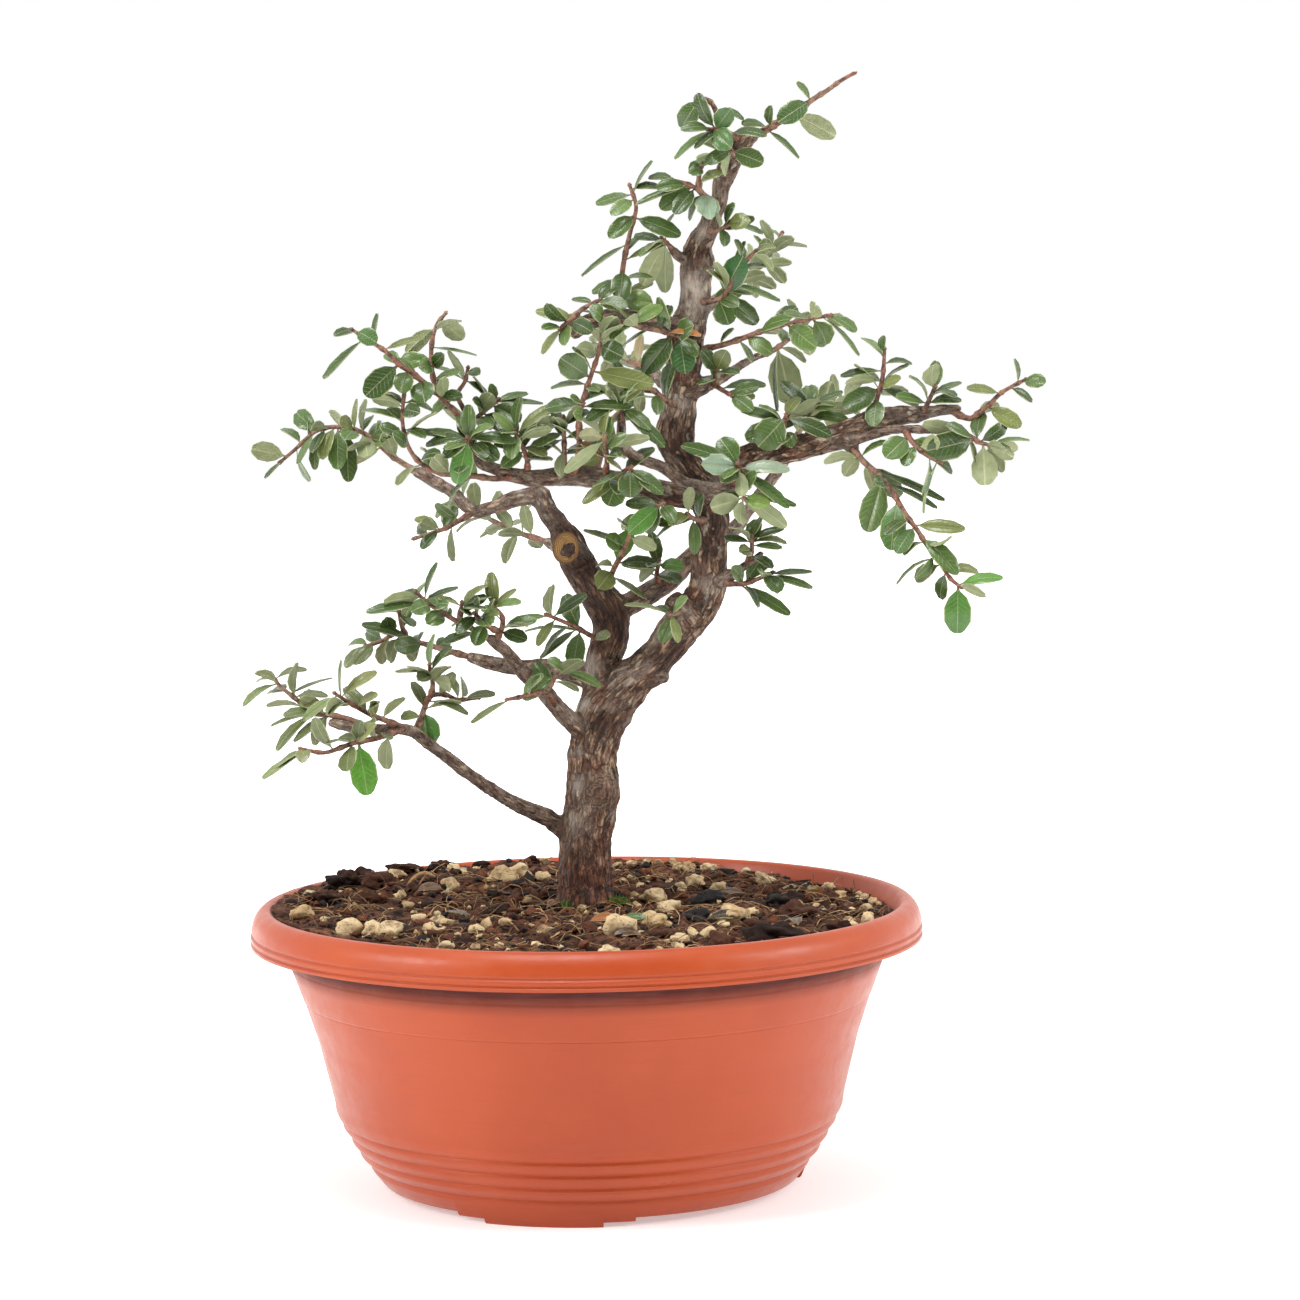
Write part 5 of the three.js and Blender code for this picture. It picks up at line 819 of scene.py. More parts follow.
def litter(name, dark, light, rough=0.8):
    """Loose dead plant fibre: matt, streaked along, each bit its own shade."""
    material, tree, shader, where = started(name)
    own = coated(tree, dark, (light, add(tree, "Attribute", attribute_name="tone")["Fac"]))
    streaked = add(tree, "Mix", {0: speckle(tree, where, 1.6, 4, 0.6), 6: own, 7: linear(dark)},
                   data_type="RGBA", blend_type="MULTIPLY")[2]
    surfaced(tree, shader, {"Base Color": coated(tree, own, (streaked, 0.45)), "Roughness": rough,
                            "Specular IOR Level": 0.3},
             (speckle(tree, where, 0.9, 3), 0.4, 0.7))
    return material


def old_bark(tints):
    """Cotoneaster bark: red-brown, split lengthwise into fibres and small plates, smooth and grey
    where it has worn, ringed round overgrown knots, dark and damp at its foot."""
    material, tree, shader, where = started("old_bark")
    height = add(tree, "SeparateXYZ", {0: where})["Z"]
    grain = add(tree, "Attribute", attribute_name="grain")["Vector"]
    worn, away, thick = (add(tree, "Attribute", attribute_name=name)["Fac"]
                         for name in ("worn", "knot", "thick"))
    # The same grain, drawn out along its limb more and less
    fibres, plates, silvers, skins = (
        add(tree, "Mapping", {"Vector": grain, "Scale": (1, 1, share)})[0]
        for share in (0.3, 0.4, 0.5, 0.6))
    fibre = speckle(tree, fibres, 1.8, 5, 0.7, 0.42, 0.58)
    split = add(tree, "ValToRGB", {0: fibre}, stops=[
        (0.0, tints.bark_dark), (0.4, linear("#523427")), (0.75, tints.bark),
        (1.0, linear("#CBAD8C"))])[0]
    bend = add(tree, "TexNoise", {"Vector": grain, "Scale": per(3), "Detail": 3.0})["Color"]
    shaken = add(tree, "Mix", {0: 0.0022, 6: plates, 7: bend}, data_type="RGBA",
                 blend_type="ADD")[2]
    cells = {"Vector": shaken, "Scale": per(2.7)}
    edge = add(tree, "TexVoronoi", cells, feature="DISTANCE_TO_EDGE")["Distance"]
    crack = add(tree, "MapRange", {0: edge, 1: 0.16, 2: 0.02, 4: 0.8})[0]
    bare = add(tree, "Math", {0: worn, 1: 0.8}, operation="MULTIPLY")[0]
    patch = add(tree, "Math", {0: speckle(tree, where, 13, 5, 0.62, 0.52, 0.64), 1: 0.45},
                operation="MULTIPLY")[0]
    smooth = add(tree, "Math", {0: bare, 1: patch}, operation="MAXIMUM")[0]
    # The rings round a knot: partly the bark's own colour, partly painted shade in the creases of
    # its wrinkles
    wobble = add(tree, "Math", {0: speckle(tree, where, 5, 5, 0.65), 1: 0.5, 2: away},
                 operation="MULTIPLY_ADD")[0]
    ring = add(tree, "Math", {0: wobble, 1: 0.13}, operation="PINGPONG")[0]
    ring = add(tree, "MapRange", {0: ring, 2: 0.13})[0]
    dark, knotted, core, thin, foot, high = (
        add(tree, "MapRange", {0: measure, 1: none, 2: full, 3: least, 4: most})[0]
        for measure, none, full, least, most in (
            (worn, 0.0, -0.7, 0, 0.88), (away, 1.5, 1.0, 0, 0.68), (away, 0.8, 0.3, 0, 0.7),
            (thick, 0.0055, 0.003, 0, 0.6), (height, 0.145, 0.124, 0, 0.88),
            (height, 0.16, 0.3, 0.3, 1)))
    fleck = add(tree, "TexVoronoi", {"Vector": shaken, "Scale": per(2.4)})["Distance"]
    fleck = add(tree, "MapRange", {0: fleck, 1: 0.4, 2: 0.25})[0]
    silver = speckle(tree, silvers, 3, 5, 0.7, 0.38, 0.62)
    skin = speckle(tree, skins, 2.4, 5, 0.66, 0.4, 0.6)
    shade = coated(
        tree, split, ("#B2906F", add(tree, "TexVoronoi", cells)["Color"], 0.32),
        (tints.bark_dark, crack), ("#7E442C", speckle(tree, where, 7, 5, 0.62, 0.46, 0.62), 0.5),
        (coated(tree, "#6E5B4D", (tints.bark_grey, silver)), smooth),
        (coated(tree, "#24130C", ("#63412F", fibre)), dark),
        # rings round the knots, partly painted shade
        (coated(tree, "#3F271C", ("#B2947A", ring)), knotted),
        (coated(tree, "#48281C", ("#8B5F49", fibre)), core),
        (coated(tree, "#4D382D", ("#B19D8C", skin)), thin),
        (coated(tree, "#25120B", ("#80492F", fibre)), foot),
        ("#CFC8B4", fleck, speckle(tree, where, 14, 5, 0.62, 0.5, 0.6), high, 0.85))
    rough, whole = (add(tree, "Math", {0: 1.0, 1: share}, operation="SUBTRACT")[0]
                    for share in (smooth, crack))
    layers = [(add(tree, "Math", {0: a, 1: b}, operation="MULTIPLY")[0], size, strength)
              for a, b, size, strength in ((fibre, rough, 0.9, 0.9), (whole, rough, 0.7, 0.9),
                                           (ring, knotted, 0.7, 0.8))]
    gloss = add(tree, "MapRange", {0: smooth, 3: 0.72, 4: 0.38})[0]
    surfaced(tree, shader, {"Base Color": shade, "Roughness": gloss}, *layers)
    return material


def young_bark(tints):
    """Skin of this year's shoots: smooth red-brown with a thin grey down."""
    material, tree, shader, where = started("young_bark")
    down = speckle(tree, where, 1.2, 3, 0.6, 0.5, 0.7)
    shade = coated(tree, tints.young_bark, ("#8A6A52", speckle(tree, where, 14, 2)),
                   ("#44291E", speckle(tree, where, 2.5, 4, 0.6, 0.42, 0.62)),
                   ("#B08E76", down, 0.5))
    surfaced(tree, shader, {"Base Color": shade, "Roughness": 0.55}, (down, 0.2, 0.6))
    return material


def leaf_started(name):
    """A leaf's new material, with the leaf's own green and the place from its midrib and stalk."""
    material, tree, shader, where = started(name)
    green = add(tree, "Attribute", attribute_name="leaf_colour")["Color"]
    flat = add(tree, "SeparateXYZ", {0: add(tree, "UVMap", uv_map="blade")[0]})
    off = add(tree, "Math", {0: flat["X"], 1: 0.5}, operation="SUBTRACT")[0]
    off = add(tree, "Math", {0: off}, operation="ABSOLUTE")[0]
    return material, tree, shader, where, green, off, flat["Y"]


def leaf_upper():
    """Living leaf, upper side: waxed and glossy, with a pale midrib and margin and sunk veins."""
    material, tree, shader, where, green, off, ahead = leaf_started("waxed_leaf_upper")
    rib = add(tree, "MapRange", {0: off, 1: 0.024, 2: 0.008, 4: 0.7})[0]
    slant = add(tree, "Math", {0: off, 1: -0.42, 2: ahead}, operation="MULTIPLY_ADD")[0]
    wave = add(tree, "Math", {0: slant, 1: 0.055}, operation="PINGPONG")[0]
    vein = add(tree, "MapRange", {0: wave, 1: 0.009, 2: 0.0})[0]
    margin = add(tree, "MapRange", {0: off, 1: 0.44, 2: 0.49})[0]
    stalk = add(tree, "MapRange", {0: ahead, 1: 0.13, 2: 0.05})[0]
    cloud = speckle(tree, where, 5, 4)
    dusky = add(tree, "Mix", {0: 1.0, 6: green, 7: linear("#BFC09A")}, data_type="RGBA",
                blend_type="MULTIPLY")[2]
    edges, lines = (add(tree, "Math", {0: rib, 1: other}, operation="MAXIMUM")[0]
                    for other in (margin, vein))
    shade = coated(tree, green, (dusky, cloud, 0.45), ("#8FA36C", vein, 0.22),
                   ("#B9B68A", edges, 0.68), ("#8A5A40", stalk, 0.8))
    gloss = add(tree, "MapRange", {0: cloud, 3: 0.17, 4: 0.34})[0]
    sunk = add(tree, "Math", {0: 1.0, 1: lines}, operation="SUBTRACT")[0]
    surfaced(tree, shader, {"Base Color": shade, "Roughness": gloss, "IOR": 1.45,
                            "Specular IOR Level": 0.6}, (sunk, 0.12, 0.5), (cloud, 0.25, 0.35))
    return material


def leaf_under():
    """Living leaf, underside: pale, matt and a little silvery, with its midrib standing out."""
    material, tree, shader, where, green, off, _ = leaf_started("felted_leaf_under")
    rib = add(tree, "MapRange", {0: off, 1: 0.05, 2: 0.02})[0]
    felt = coated(tree, green, ("#939B70", 0.55), ("#AAAC86", speckle(tree, where, 3, 4), 0.4),
                  ("#B7B78C", rib, 0.6))
    surfaced(tree, shader, {"Base Color": felt, "Roughness": 0.6, "Sheen Weight": 0.12},
             (rib, 0.25, 0.7))
    return material


def cut_wood(heart):
    """Sawn and dried wood: tan, with rings round its heart, cracks and a darker sapwood edge."""
    material, tree, shader, where = started("cut_wood")
    flat = add(tree, "UVMap", uv_map="cut")[0]
    middle = add(tree, "VectorMath", {0: flat, 1: (0.5, 0.5, 0)}, operation="DISTANCE")["Value"]
    wobble = add(tree, "Math", {0: speckle(tree, where, 4, 3), 1: 0.05, 2: middle},
                 operation="MULTIPLY_ADD")[0]
    ring = add(tree, "Math", {0: wobble, 1: 0.032}, operation="PINGPONG")[0]
    ring = add(tree, "MapRange", {0: ring, 1: 0.0, 2: 0.032})[0]
    late = add(tree, "Mix", {0: 1.0, 6: heart, 7: linear("#BFA98C")}, data_type="RGBA",
               blend_type="MULTIPLY")[2]
    edge = add(tree, "MapRange", {0: middle, 1: 0.36, 2: 0.5})[0]
    shade = coated(tree, heart, (late, ring), ("#5B3A22", edge),
                   ("#6A4A2C", speckle(tree, where, 2.2, 5, 0.65, 0.52, 0.7)))
    surfaced(tree, shader, {"Base Color": shade, "Roughness": 0.85}, (ring, 0.3, 0.6))
    return material


def studio_paper(stage):
    """Matt white paper, lit from below away from the bowl so that it stays white to its edge."""
    material, tree, shader, where = started("studio_paper")
    out = add(tree, "VectorMath", {0: where}, operation="LENGTH")["Value"]
    glow = add(tree, "MapRange", {0: out, 1: 0.18, 2: 1.1, 3: 0.4, 4: 0.95})[0]
    surfaced(tree, shader, {
        "Base Color": coated(tree, stage.floor, ("#EAE9E9", speckle(tree, where, 3, 2))),
        "Roughness": 0.95, "Specular IOR Level": 0.1, "Emission Color": linear("#FFFFFF"),
        "Emission Strength": glow})
    return material


# The bowl

GROOVES = 10.8, 16.5, 22.2, 27.9  # heights of the turned grooves
FOOT, KNEE, BELLY = (83, 3), (92.5, 15.5), (101.9, 32)  # radius and height along the tapered foot
FEET = -102, 18, 138  # where the feet are, in degrees round the bowl
DRAINS = 60, 180, 300


def ring_slope(height):
    """Radius of the tapering foot of the bowl at a height."""
    (r, z), (far, top) = (KNEE, BELLY) if height > KNEE[1] else (FOOT, KNEE)
    return r + (height - z) * (far - r) / (top - z)


def bowl_profile(groove):
    """Half section of the bowl from the middle of its underside, over the rim, to the middle of
    its floor: radius, height, and how soft the corner is, from 0 to 2."""
    points = [(0, 3, 0), (79.4, 3, 0), (80, 3.7, 0), (81.4, 3.7, 0), (82, 3, 0), (83.6, 3.1, 0)]
    for height in GROOVES:
        points += [(ring_slope(height - 1.5) + 0.75, height - 1.5, 1),
                   (ring_slope(height) - groove, height + 0.1, 0),
                   (ring_slope(height + 1.6) + 0.1, height + 1.6, 1)]
    points += [
        (101.9, 32.4, 1), (102.3, 36.2, 1), (103.8, 42.5, 1), (108.3, 61, 2), (112.7, 74.4, 2),
        (113.4, 76.7, 0), (113.3, 77.0, 0), (113.9, 77.6, 0), (117.3, 87, 2), (118.9, 91.3, 0),
        (118.9, 92.2, 0), (121.3, 98.1, 0), (121.2, 98.9, 0), (123.9, 104.2, 1), (130.3, 105.9, 1),
        (132.4, 99.8, 0), (134.35, 99.55, 0), (134.4, 100.6, 0), (133.6, 101.3, 0),
        (134.4, 102.2, 0), (134.35, 103.4, 0), (133.5, 104.2, 0), (134.1, 105.2, 0),
        (133.8, 107.4, 2), (132.6, 111, 2), (128.9, 114.4, 2), (126.1, 113.4, 1),
        (125.2, 111.7, 1), (115.2, 87, 2), (106, 61, 2), (100.5, 37, 1), (99.5, 32, 1),
        (83, 5.2, 1), (0, 5.2, 0)]
    return points


def spun(bm, points, steps):
    """Turns a half section round the bowl's axis into a closed body."""
    verts = [bm.verts.new(BOWL_MIDDLE + Vector((r, 0, z))) for r, z in points]
    edges = [bm.edges.new(pair) for pair in zip(verts, verts[1:])]
    bmesh.ops.spin(bm, geom=verts + edges, cent=BOWL_MIDDLE, axis=(0, 0, 1), angle=math.tau,
                   steps=steps, use_merge=True)
    bmesh.ops.remove_doubles(bm, verts=bm.verts, dist=1e-4)
    bmesh.ops.recalc_face_normals(bm, faces=bm.faces)


def rounded(points, sizes):
    """The half section with its corners rounded by the size of their kind."""
    bm = bmesh.new()
    verts = [bm.verts.new((r, 0, z)) for r, z, _ in points]
    for pair in zip(verts, verts[1:]):
        bm.edges.new(pair)
    ends = verts[0], verts[-1]
    for kind, size in enumerate(sizes):
        corners = [v for v, (_, _, k) in zip(verts, points) if k == kind and v not in ends]
        bmesh.ops.bevel(bm, geom=corners, offset=size, offset_type="OFFSET", affect="VERTICES",
                        segments=3, profile=0.5, material=-1, clamp_overlap=True)
    vert = min((v for v in bm.verts if len(v.link_edges) == 1), key=lambda v: v.co.z)
    line, last = [vert], None
    while True:
        ahead = [e.other_vert(vert) for e in vert.link_edges if e.other_vert(vert) is not last]
        if not ahead:
            break
        vert, last = ahead[0], vert
        line.append(vert)
    made = [(v.co.x, v.co.z) for v in line]
    bm.free()
    return made


class BONSAI_OT_bowl(bpy.types.Operator):
    """Builds the round plastic bowl with its grooves, turned-down rim, feet and drain holes"""
    bl_idname = "bonsai.bowl"
    bl_label = "Bowl"

    def execute(self, context):
        settings = context.scene.bonsai.bowl
        bm = bmesh.new()
        sizes = settings.edge / MM * 0.6, 0.9, 3.0  # by how soft a corner is
        points = rounded(bowl_profile(settings.groove / MM), sizes)
        spun(bm, points, settings.steps)
        body = placed(bm, "bowl_body")
        feet = bmesh.new()
        for degrees in FEET:
            for half, low in ((16, 0.02), (24.4, 1.8)):
                corners = [(76, low), (84.2, low), (85.0, low + 0.8), (87.3, 8), (76, 8)]
                verts = [feet.verts.new(BOWL_MIDDLE + Vector((r, 0, z))) for r, z in corners]
                face = feet.faces.new(verts)
                start = Matrix.Rotation(math.radians(degrees - half), 3, "Z")
                bmesh.ops.rotate(feet, verts=verts, cent=BOWL_MIDDLE, matrix=start)
                bmesh.ops.spin(feet, geom=[face, *face.edges, *verts], cent=BOWL_MIDDLE,
                               axis=(0, 0, 1), angle=math.radians(2 * half), steps=12,
                               use_merge=False)
        bmesh.ops.recalc_face_normals(feet, faces=feet.faces)
        pads = placed(feet, "bowl_feet")
        drills = bmesh.new()
        for degrees in DRAINS:
            turn = Matrix.Rotation(math.radians(degrees), 3, "Z")
            place = Matrix.Translation(BOWL_MIDDLE + turn @ Vector((48, 0, 4)))
            bmesh.ops.create_cone(drills, cap_ends=True, segments=40, radius1=5, radius2=5,
                                  depth=6, matrix=place)
        holes = placed(drills, "bowl_drills")
        for tool, how in ((pads, "UNION"), (holes, "DIFFERENCE")):
            cut = body.modifiers.new(how, "BOOLEAN")
            cut.object = tool
            cut.operation = how
            cut.solver = "EXACT"
            cut.use_self = how == "UNION"
        bm = taken_back(body, [pads, holes])
        piece(bm, "training_bowl", [moulded_polypropylene(settings)], ["bowl"], 32)
        return {"FINISHED"}


# The soil and what lies on it

SOIL_EDGE = 122.4  # the soil's radius where it meets the wall, before its height is known
SOIL_CURVED = 100  # radius from which the soil is drawn out to the wall
SOIL_TOP = 108  # height of the flat lid that is then heaped


def wall(height):
    """Radius of the bowl's inner wall at a height near the soil."""
    return 115.2 + (height - 87) * 0.403


def ground(x, y, soil):
    """Height of the heaped soil at a place seen from above, without its crumbs."""
    x, y = x - BOWL_MIDDLE.x, y - BOWL_MIDDLE.y
    heap = soil.heap / MM * (-0.85 * x + 0.3 * y) / 116
    swell = 1.3 * math.sin(x / 9 + 1) * math.cos(y / 11) + 0.8 * math.sin(x / 4.3 + y / 5.1)
    return soil.level / MM + heap + swell


def on_ground(x, y, up, soil):
    """The place that far above the soil."""
    return Vector((x, y, ground(x, y, soil) + up))


def scattered(rng, reach, x=BOWL_MIDDLE.x, y=0):
    """A place drawn evenly from a round patch of that reach."""
    turn, out = rng.uniform(0, math.tau), reach * math.sqrt(rng.random())
    return x + out * math.cos(turn), y + out * math.sin(turn)


def kept_inside(x, y, reach):
    """The same place, no further than that from the bowl's axis."""
    out = Vector((x - BOWL_MIDDLE.x, y - BOWL_MIDDLE.y))
    if out.length > reach:
        out *= reach / out.length
    return BOWL_MIDDLE.x + out.x, BOWL_MIDDLE.y + out.y


def crumbled(place):
    """How far the crumbs of the soil rise at a place."""
    far, _ = noise.voronoi(place / 4.2)
    fine = noise.fractal(place / 2.1, 0.8, 2.1, 3)
    return 1.1 * (0.62 - far[0]) + 0.75 * noise.noise(place / 11) + 0.42 * fine


class BONSAI_OT_soil(bpy.types.Operator):
    """Builds the heaped peat that fills the bowl"""
    bl_idname = "bonsai.soil"
    bl_label = "Soil"

    def execute(self, context):
        soil = context.scene.bonsai.soil
        bm = bmesh.new()
        side = [(0, 5.5), (82, 5.5), (98.3, 32), (99.3, 37), (104.8, 61), (114, 87), (119.5, 101)]
        rings = 95
        top = [(SOIL_EDGE * (1 - k / rings) + 1e-6 * k, SOIL_TOP) for k in range(rings)]
        spun(bm, [*side, *top, (0, SOIL_TOP)], 300)
        for vert in bm.verts:
            if vert.co.z > SOIL_TOP - 1:
                x, y = vert.co.x, vert.co.y
                out = (vert.co - BOWL_MIDDLE).to_2d().length
                height = ground(x, y, soil) + soil.crumb / MM * crumbled(Vector((x, y, 0)))
                edge = min(1, max(0, (out - 108) / 14))
                height -= 2.2 * edge * max(0, (x - BOWL_MIDDLE.x) / 122)
                vert.co.z = min(height, 114.3)
                if out > SOIL_CURVED:
                    reach = wall(vert.co.z) - 0.25
                    share = (out - SOIL_CURVED) / (SOIL_EDGE - SOIL_CURVED)
                    grow = 1 + (reach / SOIL_EDGE - 1) * share
                    vert.co.x = BOWL_MIDDLE.x + (x - BOWL_MIDDLE.x) * grow
                    vert.co.y = y * grow
        piece(bm, "heaped_peat", [moist_peat(soil)], ["soil"], 180)
        return {"FINISHED"}


def lump(bm, place, size, fine, roughness, flat, rng):
    """A rough lump of that size: an icosphere knocked out of shape. Its vertices."""
    made = bmesh.ops.create_icosphere(bm, subdivisions=fine, radius=1)["verts"]
    stretch = Vector((1, rng.uniform(0.55, 0.9), rng.uniform(0.5, 0.78) * flat))
    seed = Vector([rng.uniform(0, 99) for _ in range(3)])
    turn = Matrix.Rotation(rng.uniform(0, math.tau), 3, "Z")
    turn = turn @ Matrix.Rotation(rng.uniform(-0.5, 0.5), 3, "X")
    for vert in made:
        out = vert.co.normalized()
        knocked = noise.noise(out * 1.1 + seed) + 0.4 * noise.noise(out * 2.7 + seed)
        vert.co = place + turn @ (out * stretch * ((1 + roughness * knocked) * size / 2))
    return made


def toned(bm, verts, tone):
    """Writes the same tone on these vertices."""
    layer = bm.verts.layers.float["tone"]
    for vert in verts:
        vert[layer] = tone


def with_tones():
    """A bmesh whose vertices carry a tone."""
    bm = bmesh.new()
    bm.verts.layers.float.new("tone")
    return bm


class BONSAI_OT_stones(bpy.types.Operator):
    """Lays the pumice stones on the soil"""
    bl_idname = "bonsai.stones"
    bl_label = "Stones"

    def execute(self, context):
        soil = context.scene.bonsai.soil
        rng = random.Random(11)
        bm = with_tones()
        stones = [(x, y, size, True) for x, y, size in STONES]
        for _ in range(soil.gravel):
            stones.append((*scattered(rng, 119), rng.uniform(1.8, 4.2), False))
        for x, y, size, large in stones:
            x, y = kept_inside(x, y, 119 - size / 2)
            place = on_ground(x, y, size * (0.2 if large else 0.12) + 0.8, soil)
            place.z = min(place.z, 114 if large else 113)
            fine = 1 if not large else 3 if size > 6 else 2
            made = lump(bm, place, size * (1.12 if large else 1), fine, 0.6, 1, rng)
            toned(bm, made, rng.random() ** 1.6)
        piece(bm, "pumice_stones", [dry_pumice(soil)], (), 60)
        return {"FINISHED"}


class BONSAI_OT_litter(bpy.types.Operator):
    """Scatters lumps of peat, bark, loose fibres and moss on the soil"""
    bl_idname = "bonsai.litter"
    bl_label = "Litter"

    def execute(self, context):
        soil = context.scene.bonsai.soil
        rng = random.Random(23)
        peat, bark = with_tones(), with_tones()
        for x, y, size, black in LUMPS:
            piled = 0.25 if y > 30 and x < -40 else 0.1  # heaped against the wall at the back
            into = bark if black else peat
            made = lump(into, on_ground(x, y, size * piled, soil), size, 4, 0.75, 0.75, rng)
            toned(into, made, rng.random() * 0.4)
        for _ in range(soil.crumbs):
            x, y = scattered(rng, 120)
            size = rng.uniform(1.4, 5.2) * (1 if rng.random() < 0.85 else 1.6)
            x, y = kept_inside(x, y, 121 - size / 2)
            into = bark if rng.random() < 0.36 else peat
            place = on_ground(x, y, 0.7 + size * 0.12, soil)
            made = lump(into, place, size, 1, 0.8, rng.uniform(0.5, 1), rng)
            toned(into, made, rng.random())
        clods = [litter("peat_clod", "#1E100A", "#7E4A31", 0.93)]
        piece(peat, "peat_clods", clods, (), 70)
        chips = [litter("black_bark", "#120E0C", "#3A2C24", 0.75)]
        piece(bark, "bark_crumbs", chips, (), 50)

        fibres = with_tones()
        for k in range(soil.fibres):
            x, y = scattered(rng, 117)
            reach, heading = rng.uniform(5, 22), rng.uniform(0, math.tau)
            curl, radius = rng.uniform(-0.5, 0.5), rng.uniform(0.14, 0.36)
            lift = rng.uniform(-0.3, 2.4)
            if k % 7 == 0:  # a longer thread that stands up in an arch
                radius, lift, reach = 0.2, rng.uniform(2, 5.5), rng.uniform(12, 26)
            line = []
            for step in range(6):
                x, y = kept_inside(x, y, 121)
                up = 1.0 + lift * math.sin(step / 5 * math.pi * rng.uniform(0.8, 1.2))
                line.append((on_ground(x, y, up, soil), radius * (1 - 0.12 * step)))
                x, y = x + math.cos(heading) * reach / 5, y + math.sin(heading) * reach / 5
                heading += curl
            toned(fibres, tube(fibres, line, 3), rng.random())
        # Two dark twigs and a dry sheath, each by its places, heights and radii
        for sides, tone, line in (
                (7, 0.02, [(30, 72, 1.6, 1.3), (22, 70, 1.6, 1.4), (14, 71, 1.7, 1.2),
                           (9, 73, 1.5, 0.8)]),
                (7, 0.02, [(-3, -66, 1.4, 1.6), (6, -65, 1.7, 1.9), (15, -63, 1.5, 1.2)]),
                (6, 0.75, [(-100, 55, 1, 0.5), (-97, 58, 3, 1.0), (-93, 60, 4, 1.1),
                           (-89, 59, 3, 0.6)])):
            places = [(on_ground(x, y, up, soil), radius) for x, y, up, radius in line]
            toned(fibres, tube(fibres, finer(places, 3), sides), tone)
        piece(fibres, "dry_fibres", [litter("dry_fibre", "#52301E", "#D2AA7A")], (), 80)

        moss = with_tones()
        for x, y, spread, tufts in ((-11.5, -3, 4, 110), (-33, -9, 2.5, 20)):
            for _ in range(tufts):
                foot = on_ground(*scattered(rng, spread, x, y), 0.3, soil)
                lean = rng.uniform(-1.3, 1.3), rng.uniform(-1.3, 1.3), rng.uniform(2, 4.6)
                tip = foot + Vector(lean)
                line = [(foot, 0.4), (foot.lerp(tip, 0.6), 0.32), (tip, 0.1)]
                toned(moss, tube(moss, line, 4), rng.random())
        piece(moss, "moss", [litter("moss", "#2A4018", "#6C9432", 0.8)], (), 80)
        return {"FINISHED"}


# The trunk and branches

def limb_lines():
    """Every limb as a smooth line of places and radii."""
    return {name: finer(limb_points(points), 4) for name, points in WOOD.items()}


def grain_of(points, lines):
    """For each point: its place across and along the nearest limb, and that limb's radius."""
    best = np.full(len(points), np.inf)
    grain = np.zeros((len(points), 3))
    thick = np.ones(len(points))
    for index, line in enumerate(lines.values()):
        places = [place for place, _ in line]
        frames = turned_along(places)
        run = index * 137.0  # so that no two limbs have the same grain
        for k in range(len(line) - 1):
            start, end = np.array(places[k]), np.array(places[k + 1])
            span = end - start
            size = float(np.linalg.norm(span)) or 1e-6
            share = np.clip(((points - start) @ span) / size**2, 0, 1)
            off = points - (start + share[:, None] * span)
            radius = line[k][1] + (line[k + 1][1] - line[k][1]) * share
            away = np.linalg.norm(off, axis=1) - radius
            near = away < best
            best[near] = away[near]
            _, side, over = frames[k]
            grain[near, 0] = (off @ np.array(side))[near]
            grain[near, 1] = (off @ np.array(over))[near]
            grain[near, 2] = (run + share * size)[near]
            thick[near] = radius[near]
            run += size
    return grain, thick


def bark_relief(grain, place, radius):
    """How far the bark stands out at a place, from -1 to 1 on a thick limb."""
    across, over, ahead = grain
    ridge = 1 - 2 * abs(noise.noise(Vector((across / 2.0, over / 2.0, ahead / 8))))
    fibre = noise.noise(Vector((across / 0.95, over / 0.95, ahead / 5)))
    swell = 0.6 * noise.noise(place / 8) + 0.5 * noise.noise(place / 3.6)
    thin = min(1, radius / 9)
    return thin**0.55 * (0.8 * (ridge - 0.55) + 0.32 * fibre) + thin**0.45 * swell


def knot_relief(place):
    """How far overgrown knots swell the bark at a place, in mm, and how many sizes away one is."""
    out, nearest = 0, 2.0
    for x, z, depth, size, high in KNOTS:
        away = (place - seen(x, z, depth)).length / size
        out += high * math.exp(-2.2 * away * away)
        if high > 2:  # a large one, which shows its rings
            nearest = min(nearest, away)
            out += 0.4 * math.cos(away * 12) * max(0, 1.25 - away)
    return out, nearest


def patch_share(place):
    """How the bark is at a place, from 1 where it is worn smooth and grey to -1 where dark."""
    share = sum(kind * math.exp(-1.6 * ((place - seen(x, z, depth)).length / size) ** 2)
                for x, z, depth, size, kind in PATCHES)
    return min(1, max(-1, share))


def cut_face(bm, middle, facing, wide, high, uv):
    """A pruning cut: a sunk oval of bare wood with a swollen ring of bark round it."""
    made = bmesh.ops.create_circle(bm, cap_ends=True, segments=36, radius=1)["verts"]
    up = (Vector((0, 0, 1)) - facing * facing.z).normalized()
    side = up.cross(facing)
    face = made[0].link_faces[0]
    for vert in made:
        vert.co = Vector((vert.co.x * wide, vert.co.y * high, 0))
    # Rings inwards: how far in, how far up, and 1 where it is bark
    for inward, rise, bark in ((0.6, 1.0, 1), (0.9, 0.7, 1), (0.7, -0.9, 1), (0.5, -0.9, 0),
                               (1.6, 0.1, 0), (1.4, -0.15, 0)):
        band = bmesh.ops.inset_region(bm, faces=[face], thickness=inward, depth=rise)["faces"]
        for ring in band:
            ring.material_index = bark
    for face in bm.faces:
        for loop in face.loops:
            loop[uv].uv = (loop.vert.co.x / wide / 2 + 0.5, loop.vert.co.y / high / 2 + 0.5)
    for vert in bm.verts:
        push = 0.35 * noise.noise(vert.co / 2.5)
        vert.co = middle + side * vert.co.x + up * vert.co.y + facing * (vert.co.z + push)


